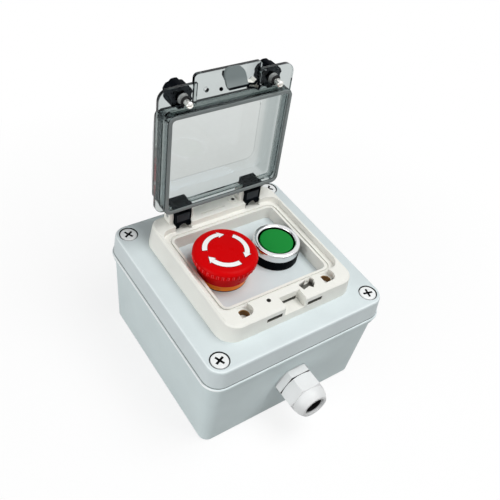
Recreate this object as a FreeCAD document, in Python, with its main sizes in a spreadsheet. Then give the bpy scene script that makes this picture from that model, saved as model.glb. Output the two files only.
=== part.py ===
import FreeCAD, Part
import math
import os
from types import SimpleNamespace

import Sketcher

# A pushbutton switch box: a grey two-part enclosure with an emergency stop and a start button on its lid,
# inside a white window frame whose smoked cover stands open on two hinge arms.
# Millimetres, +Z up. The origin is the middle of the enclosure's back, which is fastened to a wall or bench.
# The cable gland and the cover's latch are at the front (-Y), the hinge at the rear (+Y).

SIZES = {
    # Enclosure base, with its flared rim, and lid
    "box_width": 125.0,
    "box_depth": 125.0,
    "base_height": 61.5,
    "lid_height": 14.0,
    "box_corner_radius": 10.0,
    "base_foot_inset": 4.2,
    "base_wall_inset": 1.3,
    "base_foot_radius": 1.5,
    "rim_band": 5.5,
    "rim_edge_radius": 1.2,
    "rim_top_radius": 1.0,
    "wall_thickness": 3.0,
    "floor_thickness": 3.0,
    "cavity_corner_radius": 34.3,
    "lid_plate": 3.0,
    "lid_top_inset": 1.0,
    "lid_edge_radius": 2.0,
    "lid_rim_radius": 0.6,
    "wall_hole_inset": 19.5,
    "wall_hole_radius": 2.3,
    # Rubber cord between base and lid
    "lid_seal_margin": 0.8,
    "lid_seal_width": 1.8,
    "lid_seal_depth": 1.5,
    "seal_clearance": 0.1,
    # Lid screws in round wells
    "lid_screw_inset": 9.25,
    "lid_screw_radius": 1.6,
    "lid_screw_length": 30.0,
    "lid_screw_head_radius": 5.2,
    "lid_screw_well_radius": 5.8,
    "lid_screw_well_depth": 2.4,
    "lid_screw_head_round": 0.7,
    "thread_clearance": 0.1,
    "screw_clearance": 0.4,
    "hole_end_clearance": 2.0,
    # Window frame: heights are above the lid
    "frame_width": 93.6,
    "frame_front": 47.8,
    "frame_back": 47.4,
    "frame_height": 13.0,
    "frame_corner_radius": 11.0,
    "frame_crest_radius": 8.5,
    "frame_side_slope": 2.6,
    "frame_end_slope": 0.3,
    "frame_edge": 1.2,
    "window_width": 72.8,
    "window_front": 30.0,
    "window_back": 29.6,
    "window_corner_radius": 3.0,
    "ledge_height": 9.0,
    "ledge_width": 84.0,
    "ledge_front": 35.0,
    "ledge_back": 35.0,
    "ledge_corner_radius": 7.0,
    "bead_offset": 1.6,
    "bead_groove_width": 0.9,
    "bead_groove_depth": 0.8,
    "frame_seal_offset": 1.8,
    "frame_seal_width": 2.0,
    "frame_seal_depth": 1.5,
    "frame_screw_x": 38.0,
    "frame_screw_front": 42.0,
    "frame_screw_back": 41.0,
    "frame_screw_radius": 1.5,
    "frame_screw_depth": 8.0,
    "frame_screw_head_radius": 2.8,
    "frame_screw_head_height": 2.0,
    # Latch bar of the frame
    "latch_notch_width": 14.5,
    "latch_notch_back": 40.0,
    "latch_notch_floor": 5.75,
    "latch_slot_width": 12.0,
    "latch_slot_depth": 2.4,
    "latch_slot_height": 2.6,
    "bar_slot_start": 9.0,
    "bar_slot_length": 10.5,
    "bar_slot_bottom": 6.0,
    "bar_slot_height": 2.8,
    "bar_slot_depth": 4.0,
    "thumb_x": 29.2,
    "thumb_y": 38.2,
    "thumb_pocket_radius": 4.7,
    "thumb_pocket_floor": 8.6,
    "insert_radius": 3.4,
    "insert_bore_radius": 2.65,
    "insert_length": 3.6,
    "pin_hole_x": 13.5,
    "pin_hole_y": 38.8,
    "pin_hole_radius": 1.3,
    "pin_hole_depth": 5.0,
    "lock_x": 14.8,
    "lock_y": 38.0,
    "lock_arm_long": 4.3,
    "lock_arm_middle": 3.4,
    "lock_arm_short": 2.5,
    "lock_arm_half_width": 0.8,
    "lock_sleeve_wall": 0.7,
    "lock_clearance": 0.75,
    "lock_hole_depth": 5.0,
    # Hinge: two black arms on steel pins between lugs of the frame
    "hinge_y": 41.9,
    "hinge_height": 18.0,
    "hinge_open_angle": 92.5,
    "hinge_arm_x": 25.5,
    "hinge_arm_width": 10.5,
    "hinge_side_clearance": 0.4,
    "hinge_pin_radius": 1.5,
    "hinge_running_fit": 0.06,
    "hinge_seat_fit": 0.02,
    "hinge_lug_radius": 3.4,
    "hinge_lug_thickness": 2.6,
    "hinge_notch_floor": 7.2,
    "hinge_notch_front": 34.1,
    "arm_reach": 7.5,
    "arm_tail": 8.0,
    "arm_below": 5.9,
    "arm_tail_thickness": 2.2,
    "arm_above": 4.1,
    "arm_eye_radius": 3.8,
    "arm_shoulder": 2.0,
    "arm_slot_width": 6.8,
    "arm_slot_length": 1.6,
    "arm_slot_margin": 0.7,
    "arm_arch_radius": 2.8,
    "deck_line_start": 11.0,
    "deck_line_end": 6.3,
    "deck_line_y": 38.9,
    "deck_line_width": 0.8,
    "deck_line_depth": 0.7,
    "deck_boss_x": 13.8,
    "deck_boss_y": 41.5,
    "deck_boss_radius": 2.6,
    "deck_boss_height": 1.0,
    "deck_boss_hole_radius": 1.2,
    "deck_boss_hole_depth": 4.0,
    # Smoked cover, drawn as it lies when closed; heights are above the lid
    "flange_width": 87.4,
    "flange_front": 45.4,
    "flange_back": 36.2,
    "flange_bottom": 15.4,
    "flange_thickness": 2.2,
    "flange_corner_radius": 6.5,
    "grip_width": 43.4,
    "grip_front": 49.6,
    "grip_bottom": 17.1,
    "grip_corner_radius": 2.5,
    "grip_step_wall": 1.2,
    "collar_width": 81.2,
    "collar_front": 32.4,
    "collar_back": 34.1,
    "collar_corner_radius": 4.5,
    "collar_wall": 2.6,
    "collar_bottom": 10.2,
    "dome_shoulder_height": 26.3,
    "dome_front": 29.2,
    "dome_shoulder_inset": 0.7,
    "dome_height": 32.3,
    "dome_top_inset": 3.4,
    "dome_top_front": 17.0,
    "dome_top_back": 4.6,
    "dome_corner_radius": 8.0,
    "dome_wall": 2.0,
    "cover_seal_width": 1.8,
    "cover_seal_height": 1.1,
    "sleeve_radius": 3.4,
    "sleeve_bottom": 13.2,
    "stud_ring_radius": 4.3,
    "stud_ring": 1.2,
    "latch_width": 13.4,
    "latch_hook_y": 42.4,
    "latch_hook_height": 7.3,
    "latch_tip_y": 51.6,
    "latch_tip_height": 13.4,
    "latch_thickness": 1.6,
    "latch_web_back": 46.3,
    "latch_web_thickness": 2.3,
    "latch_corner_radius": 4.2,
    # Thumb screws of the cover
    "stud_radius": 2.0,
    "stud_tip": 7.2,
    "stud_fit": 0.1,
    "stud_slot_width": 0.8,
    "stud_slot_depth": 1.2,
    "stud_edge": 0.5,
    "press_fit": 0.02,
    "knob_radius": 7.0,
    "knob_height": 8.5,
    "knob_gap": 0.2,
    "knob_blind": 2.5,
    "knob_flute_radius": 2.6,
    "knob_flute_offset": 1.5,
    "knob_edge_radius": 1.0,
    # Operators: both go through round holes of the lid, with a nut below it
    "estop_x": -18.4,
    "start_x": 19.9,
    "operator_radius": 11.0,
    "panel_hole_clearance": 0.15,
    "operator_bore_radius": 7.0,
    "operator_running_fit": 0.08,
    "operator_depth": 24.0,
    "operator_floor": 4.0,
    "operator_fit": 0.08,
    "gasket_thickness": 0.6,
    "operator_nut_flats": 29.0,
    "operator_nut_height": 5.0,
    "rod_radius": 3.3,
    "rod_clearance": 0.3,
    "rod_end_depth": 27.0,
    "piston_bottom": 3.0,
    "spring_wire_radius": 0.55,
    "spring_radius": 5.2,
    "spring_pitch": 4.0,
    "block_width": 20.0,
    "block_length": 30.0,
    "block_height": 22.0,
    "block_well_radius": 4.0,
    "block_well_depth": 8.0,
    "block_edge": 1.5,
    "terminal_x": 5.2,
    "terminal_y": 10.6,
    "terminal_radius": 2.6,
    "terminal_well_depth": 3.2,
    "terminal_height": 2.4,
    "terminal_clearance": 0.2,
    # Emergency stop: red mushroom head over an orange collar
    "estop_collar_radius": 15.0,
    "estop_collar_top": 6.6,
    "estop_travel": 3.5,
    "estop_stop_gap": 1.1,
    "estop_skirt_clearance": 0.3,
    "estop_skirt_wall": 0.8,
    "estop_flare_wall": 1.5,
    "estop_head_radius": 19.4,
    "estop_rim_bottom": 14.4,
    "estop_rim_chamfer": 1.8,
    "estop_rim_top": 17.4,
    "estop_crown_radius": 16.6,
    "estop_crown_height": 19.7,
    "estop_top": 20.5,
    "estop_shoulder_curve": 3.6,
    "estop_plate": 4.6,
    "estop_boss_radius": 6.5,
    "estop_boss_bottom": 8.0,
    "estop_stem_radius": 4.0,
    "estop_stem_top": 17.0,
    "estop_axial_clearance": 0.1,
    "estop_rib_radius": 0.55,
    "estop_rib_height": 2.6,
    # Start button: green cap in a chromed bezel on a black collar
    "start_collar_radius": 15.0,
    "start_collar_top": 6.5,
    "start_travel": 4.0,
    "start_stop_gap": 0.4,
    "bezel_radius": 14.8,
    "bezel_top": 12.0,
    "bezel_bore_radius": 11.5,
    "bezel_edge_radius": 1.2,
    "cap_radius": 10.5,
    "cap_top": 11.2,
    "cap_bottom": 8.8,
    "cap_edge_radius": 0.6,
    # Cable gland in the front wall
    "gland_height": 31.8,
    "gland_flats": 22.0,
    "gland_thread_radius": 9.3,
    "gland_hole_clearance": 0.2,
    "gland_flange": 4.8,
    "gland_thread_end": 17.0,
    "gland_spigot": 12.0,
    "gland_bore_radius": 6.5,
    "gland_washer_radius": 11.6,
    "gland_washer": 1.2,
    "gland_locknut_flats": 24.0,
    "gland_locknut": 5.0,
    "gland_nut_gap": 0.4,
    "gland_nut_hex": 10.6,
    "gland_nut_dome": 7.0,
    "gland_dome_radius": 10.7,
    "gland_mouth_rim_radius": 8.4,
    "gland_dome_curve": 9.0,
    "gland_mouth_radius": 6.8,
    "gland_nut_fit": 0.08,
    "gland_nut_roof": 0.8,
    "gland_hex_chamfer": 1.0,
    "gland_seal_fit": 0.1,
    "gland_seal_bore_radius": 5.25,
    "gland_seal_start": 8.0,
    "gland_seal_end": 21.6,
}

LID_CORNERS = ((-1, -1), (1, -1), (1, 1), (-1, 1))
SIDES = (("left", -1), ("right", 1))
KNOB_FLUTES = 6
ESTOP_RIBS = 40
# Directions of the three arms of the lock opening, in degrees from +X, counter-clockwise
LOCK_SHORT_ARM = -46
LOCK_MIDDLE_ARM = 28
LOCK_LONG_ARM = 192

os.makedirs("parts", exist_ok=True)
doc = FreeCAD.newDocument("PushbuttonSwitchBox")
sheet = doc.addObject("Spreadsheet::Sheet", "Sizes")
for row, (alias, number) in enumerate(SIZES.items(), start=1):
    sheet.set(f"A{row}", alias)
    sheet.set(f"B{row}", str(number))
    sheet.setAlias(f"B{row}", alias)
doc.recompute()


class Size:
    """A size as a number, to draw with, and as a formula on the sheet, to bind with."""

    def __init__(self, number, formula):
        self.number = number
        self.formula = formula

    def __add__(self, other):
        other = as_size(other)
        return Size(self.number + other.number, f"({self.formula} + {other.formula})")

    def __sub__(self, other):
        other = as_size(other)
        return Size(self.number - other.number, f"({self.formula} - {other.formula})")

    def __mul__(self, other):
        other = as_size(other)
        return Size(self.number * other.number, f"({self.formula} * {other.formula})")

    def __truediv__(self, other):
        other = as_size(other)
        return Size(self.number / other.number, f"({self.formula} / {other.formula})")

    def __neg__(self):
        return self * -1

    __radd__ = __add__
    __rmul__ = __mul__


def as_size(number):
    return number if isinstance(number, Size) else Size(number, f"({number:.12f})")


d = SimpleNamespace(**{alias: Size(float(sheet.get(alias)), f"Sizes.{alias}") for alias in SIZES})


# Sketches, features and placements

def new_body(label):
    body = doc.addObject("PartDesign::Body", label)
    body.Label = label
    return body


def new_sketch(body, role, offset=0):
    plane = next(feature for feature in body.Origin.OriginFeatures if feature.Role == role)
    sketch = body.newObject("Sketcher::SketchObject", body.Name + "_sketch")
    sketch.AttachmentSupport = (plane, "")
    sketch.MapMode = "FlatFace"
    sketch.setExpression("AttachmentOffset.Base.z", as_size(offset).formula)
    return sketch


def bind(sketch, constraint, size):
    index = sketch.addConstraint(constraint)
    sketch.setExpression(f"Constraints[{index}]", size.formula)


def pin(sketch, geometry, point, x, y):
    """Hold one point of a sketch at x, y from its origin."""
    for kind, axis, coordinate in (("DistanceX", -2, as_size(x)), ("DistanceY", -1, as_size(y))):
        if abs(coordinate.number) < 1e-9:
            sketch.addConstraint(Sketcher.Constraint("PointOnObject", geometry, point, axis))
        else:
            constraint = Sketcher.Constraint(kind, -1, 1, geometry, point, coordinate.number)
            bind(sketch, constraint, coordinate)


def at(x, y):
    return FreeCAD.Vector(as_size(x).number, as_size(y).number, 0)


def circle(sketch, x, y, radius):
    index = sketch.addGeometry(Part.Circle(at(x, y), FreeCAD.Vector(0, 0, 1), radius.number))
    pin(sketch, index, 3, x, y)
    bind(sketch, Sketcher.Constraint("Radius", index, radius.number), radius)


def outline(sketch, corners):
    """Closed outline, counter-clockwise. A corner with a third value starts an arc of that radius."""
    first = sketch.GeometryCount
    count = len(corners)
    for index, corner in enumerate(corners):
        start = at(*corner[:2])
        end = at(*corners[(index + 1) % count][:2])
        if len(corner) == 2:
            sketch.addGeometry(Part.LineSegment(start, end))
            continue
        chord = end - start
        outward = FreeCAD.Vector(chord.y, -chord.x, 0).normalize()
        rise = corner[2].number - math.sqrt(corner[2].number ** 2 - (chord.Length / 2) ** 2)
        sketch.addGeometry(Part.Arc(start, (start + end) / 2 + outward * rise, end))
    for index, corner in enumerate(corners):
        sketch.addConstraint(
            Sketcher.Constraint("Coincident", first + index, 2, first + (index + 1) % count, 1))
        pin(sketch, first + index, 1, *corner[:2])
        if len(corner) == 3:
            bind(sketch, Sketcher.Constraint("Radius", first + index, corner[2].number), corner[2])


def rectangle(sketch, left, right, front, back):
    outline(sketch, [(left, front), (right, front), (right, back), (left, back)])


def rounded_rectangle(sketch, left, right, front, back, radius):
    first = sketch.GeometryCount
    sides = (((left + radius, front), (right - radius, front)),
             ((right, front + radius), (right, back - radius)),
             ((right - radius, back), (left + radius, back)),
             ((left, back - radius), (left, front + radius)))
    centres = ((right - radius, front + radius), (right - radius, back - radius),
               (left + radius, back - radius), (left + radius, front + radius))
    for quarter, ((start, end), centre) in enumerate(zip(sides, centres)):
        sketch.addGeometry(Part.LineSegment(at(*start), at(*end)))
        full = Part.Circle(at(*centre), FreeCAD.Vector(0, 0, 1), radius.number)
        turn = math.pi / 2 * (quarter - 1)
        sketch.addGeometry(Part.ArcOfCircle(full, turn, turn + math.pi / 2))
    for quarter in range(4):
        line = first + 2 * quarter
        arc = line + 1
        following = first + (2 * quarter + 2) % 8
        sketch.addConstraint(Sketcher.Constraint("Tangent", line, 2, arc, 1))
        sketch.addConstraint(Sketcher.Constraint("Tangent", arc, 2, following, 1))
        sketch.addConstraint(Sketcher.Constraint("Horizontal" if quarter % 2 == 0 else "Vertical", line))
        if quarter:
            sketch.addConstraint(Sketcher.Constraint("Equal", first + 1, arc))
    bind(sketch, Sketcher.Constraint("Radius", first + 1, radius.number), radius)
    for line, kind, edge in ((0, "DistanceY", front), (2, "DistanceX", right),
                             (4, "DistanceY", back), (6, "DistanceX", left)):
        bind(sketch, Sketcher.Constraint(kind, -1, 1, first + line, 1, edge.number), edge)


def hexagon(sketch, flats):
    """Six corners, two of them on the sketch's horizontal axis."""
    corner = flats / math.sqrt(3)
    turns = [math.radians(60 * index) for index in range(6)]
    outline(sketch, [(corner * math.cos(turn), corner * math.sin(turn)) for turn in turns])


def extrude(kind, body, sketch, length, reverse=False, both_ways=False):
    feature = body.newObject("PartDesign::" + kind, f"{body.Name}_{kind}")
    feature.Profile = sketch
    feature.Reversed = reverse
    feature.SideType = "Symmetric" if both_ways else "One side"
    feature.setExpression("Length", length.formula)
    doc.recompute()
    return feature


def pad(body, sketch, length, reverse=False, both_ways=False):
    return extrude("Pad", body, sketch, length, reverse, both_ways)


def pocket(body, sketch, depth, reverse=False, both_ways=False):
    """A pocket cuts against its sketch's normal, or along it when reversed."""
    before = body.Shape.Volume
    feature = extrude("Pocket", body, sketch, depth, reverse, both_ways)
    if body.Shape.Volume > before * (1 - 1e-9):
        raise ValueError(f"a pocket of {body.Label} cuts nothing")
    return feature


def revolve(body, sketch, kind="Revolution"):
    """Turn a sketch on the XZ plane about the body's own Z axis."""
    feature = body.newObject("PartDesign::" + kind, f"{body.Name}_{kind}")
    feature.Profile = sketch
    feature.ReferenceAxis = (sketch, ["V_Axis"])
    feature.Angle = 360
    doc.recompute()
    return feature


def turned(label, corners):
    """A body of revolution from an outline of (radius, height) corners."""
    body = new_body(label)
    sketch = new_sketch(body, "XZ_Plane")
    outline(sketch, corners)
    revolve(body, sketch)
    return body


def ring(label, inner, outer, bottom, top):
    return turned(label, [(inner, bottom), (outer, bottom), (outer, top), (inner, top)])


def loft(kind, body, sections):
    feature = body.newObject(f"PartDesign::{kind}Loft", f"{body.Name}_{kind}Loft")
    feature.Profile = sections[0]
    feature.Sections = sections[1:]
    feature.Ruled = True
    doc.recompute()
    return feature


def dress(kind, body, radius, chosen):
    """Fillet or chamfer every edge of the body that the rule picks."""
    names = [f"Edge{index}" for index, edge in enumerate(body.Shape.Edges, start=1) if chosen(edge)]
    tip = body.Tip
    feature = body.newObject("PartDesign::" + kind, f"{body.Name}_{kind}")
    feature.Base = (tip, names)
    feature.setExpression("Radius" if kind == "Fillet" else "Size", radius.formula)
    doc.recompute()
    return feature


def polar_pattern(body, feature, sketch, count):
    pattern = body.newObject("PartDesign::PolarPattern", body.Name + "_pattern")
    pattern.Originals = [feature]
    pattern.Axis = (sketch, ["N_Axis"])
    pattern.Angle = 360
    pattern.Occurrences = count
    body.Tip = pattern
    doc.recompute()
    return pattern


def at_height(edge, height):
    """True for an edge that lies flat at this height."""
    box = edge.BoundBox
    return abs(box.ZMin - height.number) < 1e-4 and abs(box.ZMax - height.number) < 1e-4


def place(part, x=0, y=0, z=0):
    for axis, coordinate in (("x", x), ("y", y), ("z", z)):
        part.setExpression(f"Placement.Base.{axis}", as_size(coordinate).formula)


def turn_to(part, pose, x=0, y=0, z=0):
    """Put a part, shifted by x, y, z, into a frame that is itself turned."""
    shift = FreeCAD.Vector(as_size(x).number, as_size(y).number, as_size(z).number)
    part.Placement = pose.multiply(FreeCAD.Placement(shift, FreeCAD.Rotation()))


lid_top = d.base_height + d.lid_height
lid_under = -d.lid_plate
half_width = d.box_width / 2
half_depth = d.box_depth / 2
hinge_axis = FreeCAD.Vector(0, d.hinge_y.number, d.hinge_height.number)
cover_pose = FreeCAD.Placement(
    FreeCAD.Vector(0, 0, lid_top.number), FreeCAD.Rotation()).multiply(
    FreeCAD.Placement(FreeCAD.Vector(), FreeCAD.Rotation(FreeCAD.Vector(1, 0, 0), -d.hinge_open_angle.number),
                      hinge_axis))


# Enclosure

def box_section(body, height, rim_radius, *insets):
    """Outlines moved in from the box's rim; their corners share the centres of a rim of that radius."""
    sketch = new_sketch(body, "XY_Plane", height)
    for inset in insets:
        rounded_rectangle(sketch, inset - half_width, half_width - inset, inset - half_depth,
                          half_depth - inset, rim_radius - inset)
    return sketch


def four_circles(sketch, inset, radius):
    """A circle near each corner, as far from the box's sides as the inset says."""
    for side_x, side_y in LID_CORNERS:
        circle(sketch, (half_width - inset) * side_x, (half_depth - inset) * side_y, radius)


cavity_inset = d.base_wall_inset + d.wall_thickness
seal_inner = cavity_inset - d.lid_seal_margin
seal_outer = seal_inner - d.lid_seal_width
wall_top = d.base_height - d.rim_band
wall_slope = (d.base_foot_inset - d.base_wall_inset) / wall_top


def make_base():
    """Tapered tub with a flared rim; its thick corners take the lid screws outside the seal."""
    base = new_body("enclosure_base")
    loft("Additive", base, [box_section(base, 0, d.box_corner_radius, d.base_foot_inset),
                            box_section(base, wall_top, d.box_corner_radius, d.base_wall_inset)])
    pad(base, box_section(base, wall_top, d.box_corner_radius, as_size(0)), d.rim_band)
    dress("Fillet", base, d.rim_edge_radius, lambda edge: at_height(edge, wall_top) and is_on_rim(edge))
    dress("Fillet", base, d.rim_top_radius, lambda edge: at_height(edge, d.base_height))
    dress("Fillet", base, d.base_foot_radius, lambda edge: at_height(edge, as_size(0)))
    loft("Subtractive", base,
         [box_section(base, d.floor_thickness, d.cavity_corner_radius, d.base_foot_inset + d.wall_thickness),
          box_section(base, d.base_height, d.cavity_corner_radius, cavity_inset)])
    groove = box_section(base, d.base_height, d.cavity_corner_radius, seal_inner + d.seal_clearance,
                         seal_outer - d.seal_clearance)
    pocket(base, groove, d.lid_seal_depth)
    screw_holes = new_sketch(base, "XY_Plane", d.base_height)
    four_circles(screw_holes, d.lid_screw_inset, d.lid_screw_radius + d.thread_clearance)
    screw_bite = d.lid_screw_length - d.lid_height + d.lid_screw_well_depth
    pocket(base, screw_holes, screw_bite + d.hole_end_clearance)
    wall_holes = new_sketch(base, "XY_Plane", d.floor_thickness)
    four_circles(wall_holes, d.wall_hole_inset, d.wall_hole_radius)
    pocket(base, wall_holes, d.floor_thickness)
    gland_hole = new_sketch(base, "XZ_Plane", half_depth)
    circle(gland_hole, 0, d.gland_height, d.gland_thread_radius + d.gland_hole_clearance)
    pocket(base, gland_hole, d.base_foot_inset + d.wall_thickness + d.rim_band)
    return base


def is_on_rim(edge):
    """True for an edge on the outer outline of the rim, not on a wall inside it."""
    middle = edge.valueAt((edge.FirstParameter + edge.LastParameter) / 2)
    radius = d.box_corner_radius.number
    beyond_x = max(0, abs(middle.x) - (half_width.number - radius))
    beyond_y = max(0, abs(middle.y) - (half_depth.number - radius))
    return math.hypot(beyond_x, beyond_y) > radius - d.base_wall_inset.number / 2


def make_lid():
    lid = new_body("enclosure_lid")
    loft("Additive", lid, [box_section(lid, d.base_height, d.box_corner_radius, as_size(0)),
                           box_section(lid, lid_top, d.box_corner_radius, d.lid_top_inset)])
    hollow = box_section(lid, d.base_height, d.cavity_corner_radius, cavity_inset)
    pocket(lid, hollow, d.lid_height - d.lid_plate, reverse=True)
    dress("Fillet", lid, d.lid_edge_radius, lambda edge: at_height(edge, lid_top))
    dress("Fillet", lid, d.lid_rim_radius, lambda edge: at_height(edge, d.base_height) and is_on_rim(edge))
    wells = new_sketch(lid, "XY_Plane", lid_top)
    four_circles(wells, d.lid_screw_inset, d.lid_screw_well_radius)
    pocket(lid, wells, d.lid_screw_well_depth)
    holes = new_sketch(lid, "XY_Plane", lid_top)
    four_circles(holes, d.lid_screw_inset, d.lid_screw_radius + d.screw_clearance)
    for operator_x in (d.estop_x, d.start_x):
        circle(holes, operator_x, 0, d.operator_radius + d.panel_hole_clearance)
    frame_screw_circles(holes, d.frame_screw_radius + d.screw_clearance)
    pocket(lid, holes, d.lid_height)
    return lid


def make_lid_gasket():
    gasket = new_body("lid_gasket")
    section = box_section(gasket, d.base_height, d.cavity_corner_radius, seal_inner, seal_outer)
    pad(gasket, section, d.lid_seal_depth, reverse=True)
    return gasket


def make_lid_screws():
    screws = new_body("lid_screws")
    seat = lid_top - d.lid_screw_well_depth
    shanks = new_sketch(screws, "XY_Plane", seat)
    four_circles(shanks, d.lid_screw_inset, d.lid_screw_radius)
    pad(screws, shanks, d.lid_screw_length, reverse=True)
    heads = new_sketch(screws, "XY_Plane", seat)
    four_circles(heads, d.lid_screw_inset, d.lid_screw_head_radius)
    pad(screws, heads, d.lid_screw_well_depth)
    dress("Fillet", screws, d.lid_screw_head_round, lambda edge: at_height(edge, lid_top))
    return screws


# Window frame, drawn above the lid

def frame_screw_circles(sketch, radius):
    for side in (-1, 1):
        circle(sketch, d.frame_screw_x * side, -d.frame_screw_front, radius)
        circle(sketch, d.frame_screw_x * side, d.frame_screw_back, radius)


def window_ring(sketch, inner, outer):
    """Ring of even width around the window, between two distances from its edge."""
    for outset in (inner, outer):
        half = d.window_width / 2 + outset
        rounded_rectangle(sketch, -half, half, -(d.window_front + outset), d.window_back + outset,
                          d.window_corner_radius + outset)


def lock_outline(sketch, grow):
    """Three-armed outline of the lock opening, grown evenly by a wall or a clearance."""
    half = d.lock_arm_half_width + grow
    arms = ((LOCK_SHORT_ARM, d.lock_arm_short + grow), (LOCK_MIDDLE_ARM, d.lock_arm_middle + grow),
            (LOCK_LONG_ARM, d.lock_arm_long + grow))
    corners = []
    for index, (angle, reach) in enumerate(arms):
        along = (math.cos(math.radians(angle)), math.sin(math.radians(angle)))
        corners.append((reach * along[0] + half * along[1], reach * along[1] - half * along[0]))
        corners.append((reach * along[0] - half * along[1], reach * along[1] + half * along[0]))
        between = (arms[(index + 1) % 3][0] - angle) % 360
        inner = half / math.sin(math.radians(between / 2))
        middle = math.radians(angle + between / 2)
        corners.append((inner * math.cos(middle), inner * math.sin(middle)))
    outline(sketch, [(d.lock_x + x, y - d.lock_y) for x, y in corners])


def make_window_frame():
    """Sloped white surround with a seal ledge, a latch bar in front and a hinge deck behind."""
    frame = new_body("window_frame")
    half = d.frame_width / 2
    foot = new_sketch(frame, "XY_Plane")
    rounded_rectangle(foot, -half, half, -d.frame_front, d.frame_back, d.frame_corner_radius)
    sections = [foot]
    for height, edge in ((d.frame_height - d.frame_edge, as_size(0)), (d.frame_height, d.frame_edge)):
        crest_half = half - d.frame_side_slope - edge
        end_inset = d.frame_end_slope + edge
        crest = new_sketch(frame, "XY_Plane", height)
        rounded_rectangle(crest, -crest_half, crest_half, end_inset - d.frame_front, d.frame_back - end_inset,
                          d.frame_crest_radius - edge)
        sections.append(crest)
    loft("Additive", frame, sections)

    ledge = new_sketch(frame, "XY_Plane", d.frame_height)
    ledge_half = d.ledge_width / 2
    rounded_rectangle(ledge, -ledge_half, ledge_half, -d.ledge_front, d.ledge_back, d.ledge_corner_radius)
    pocket(frame, ledge, d.frame_height - d.ledge_height)
    window = new_sketch(frame, "XY_Plane", d.frame_height)
    window_half = d.window_width / 2
    rounded_rectangle(window, -window_half, window_half, -d.window_front, d.window_back,
                      d.window_corner_radius)
    pocket(frame, window, d.frame_height)
    bead = new_sketch(frame, "XY_Plane", d.ledge_height)
    window_ring(bead, d.bead_offset, d.bead_offset + d.bead_groove_width)
    pocket(frame, bead, d.bead_groove_depth)
    seal = new_sketch(frame, "XY_Plane")
    window_ring(seal, d.frame_seal_offset - d.seal_clearance,
                d.frame_seal_offset + d.frame_seal_width + d.seal_clearance)
    pocket(frame, seal, d.frame_seal_depth, reverse=True)
    screw_holes = new_sketch(frame, "XY_Plane")
    frame_screw_circles(screw_holes, d.frame_screw_radius + d.thread_clearance)
    pocket(frame, screw_holes, d.frame_screw_depth + d.hole_end_clearance / 2, reverse=True)
    cut_latch_bar(frame)
    cut_hinge_deck(frame)
    place(frame, z=lid_top)
    return frame


def cut_latch_bar(frame):
    """Latch notch, tool slots, thumb screw pockets and the two small holes of the front bar."""
    notch = new_sketch(frame, "XY_Plane", d.frame_height)
    half = d.latch_notch_width / 2
    rectangle(notch, -half, half, -(d.frame_front + d.frame_end_slope), -d.latch_notch_back)
    pocket(frame, notch, d.frame_height - d.latch_notch_floor)
    catch = new_sketch(frame, "XZ_Plane", d.latch_notch_back)
    rectangle(catch, -d.latch_slot_width / 2, d.latch_slot_width / 2, d.latch_notch_floor,
              d.latch_notch_floor + d.latch_slot_height)
    pocket(frame, catch, d.latch_slot_depth)
    slots = new_sketch(frame, "XZ_Plane", d.frame_front)
    slot_end = d.bar_slot_start + d.bar_slot_length
    slot_top = d.bar_slot_bottom + d.bar_slot_height
    rectangle(slots, d.bar_slot_start, slot_end, d.bar_slot_bottom, slot_top)
    rectangle(slots, -slot_end, -d.bar_slot_start, d.bar_slot_bottom, slot_top)
    pocket(frame, slots, d.bar_slot_depth)
    for side in (-1, 1):
        centre = d.thumb_x * side
        round_end = new_sketch(frame, "XY_Plane", d.frame_height)
        circle(round_end, centre, -d.thumb_y, d.thumb_pocket_radius)
        pocket(frame, round_end, d.frame_height - d.thumb_pocket_floor)
        square_end = new_sketch(frame, "XY_Plane", d.frame_height)
        rectangle(square_end, centre - d.thumb_pocket_radius, centre,
                  -(d.thumb_y + d.thumb_pocket_radius), -d.thumb_y)
        pocket(frame, square_end, d.frame_height - d.thumb_pocket_floor)
    inserts = new_sketch(frame, "XY_Plane", d.thumb_pocket_floor)
    for side in (-1, 1):
        circle(inserts, d.thumb_x * side, -d.thumb_y, d.insert_radius + d.press_fit)
    pocket(frame, inserts, d.insert_length)
    pin_hole = new_sketch(frame, "XY_Plane", d.frame_height)
    circle(pin_hole, -d.pin_hole_x, -d.pin_hole_y, d.pin_hole_radius)
    pocket(frame, pin_hole, d.pin_hole_depth)
    lock_hole = new_sketch(frame, "XY_Plane", d.frame_height)
    lock_outline(lock_hole, d.lock_sleeve_wall + d.lock_clearance)
    pocket(frame, lock_hole, d.lock_hole_depth)


arm_half = d.hinge_arm_width / 2
notch_half = arm_half + d.hinge_side_clearance


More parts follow.
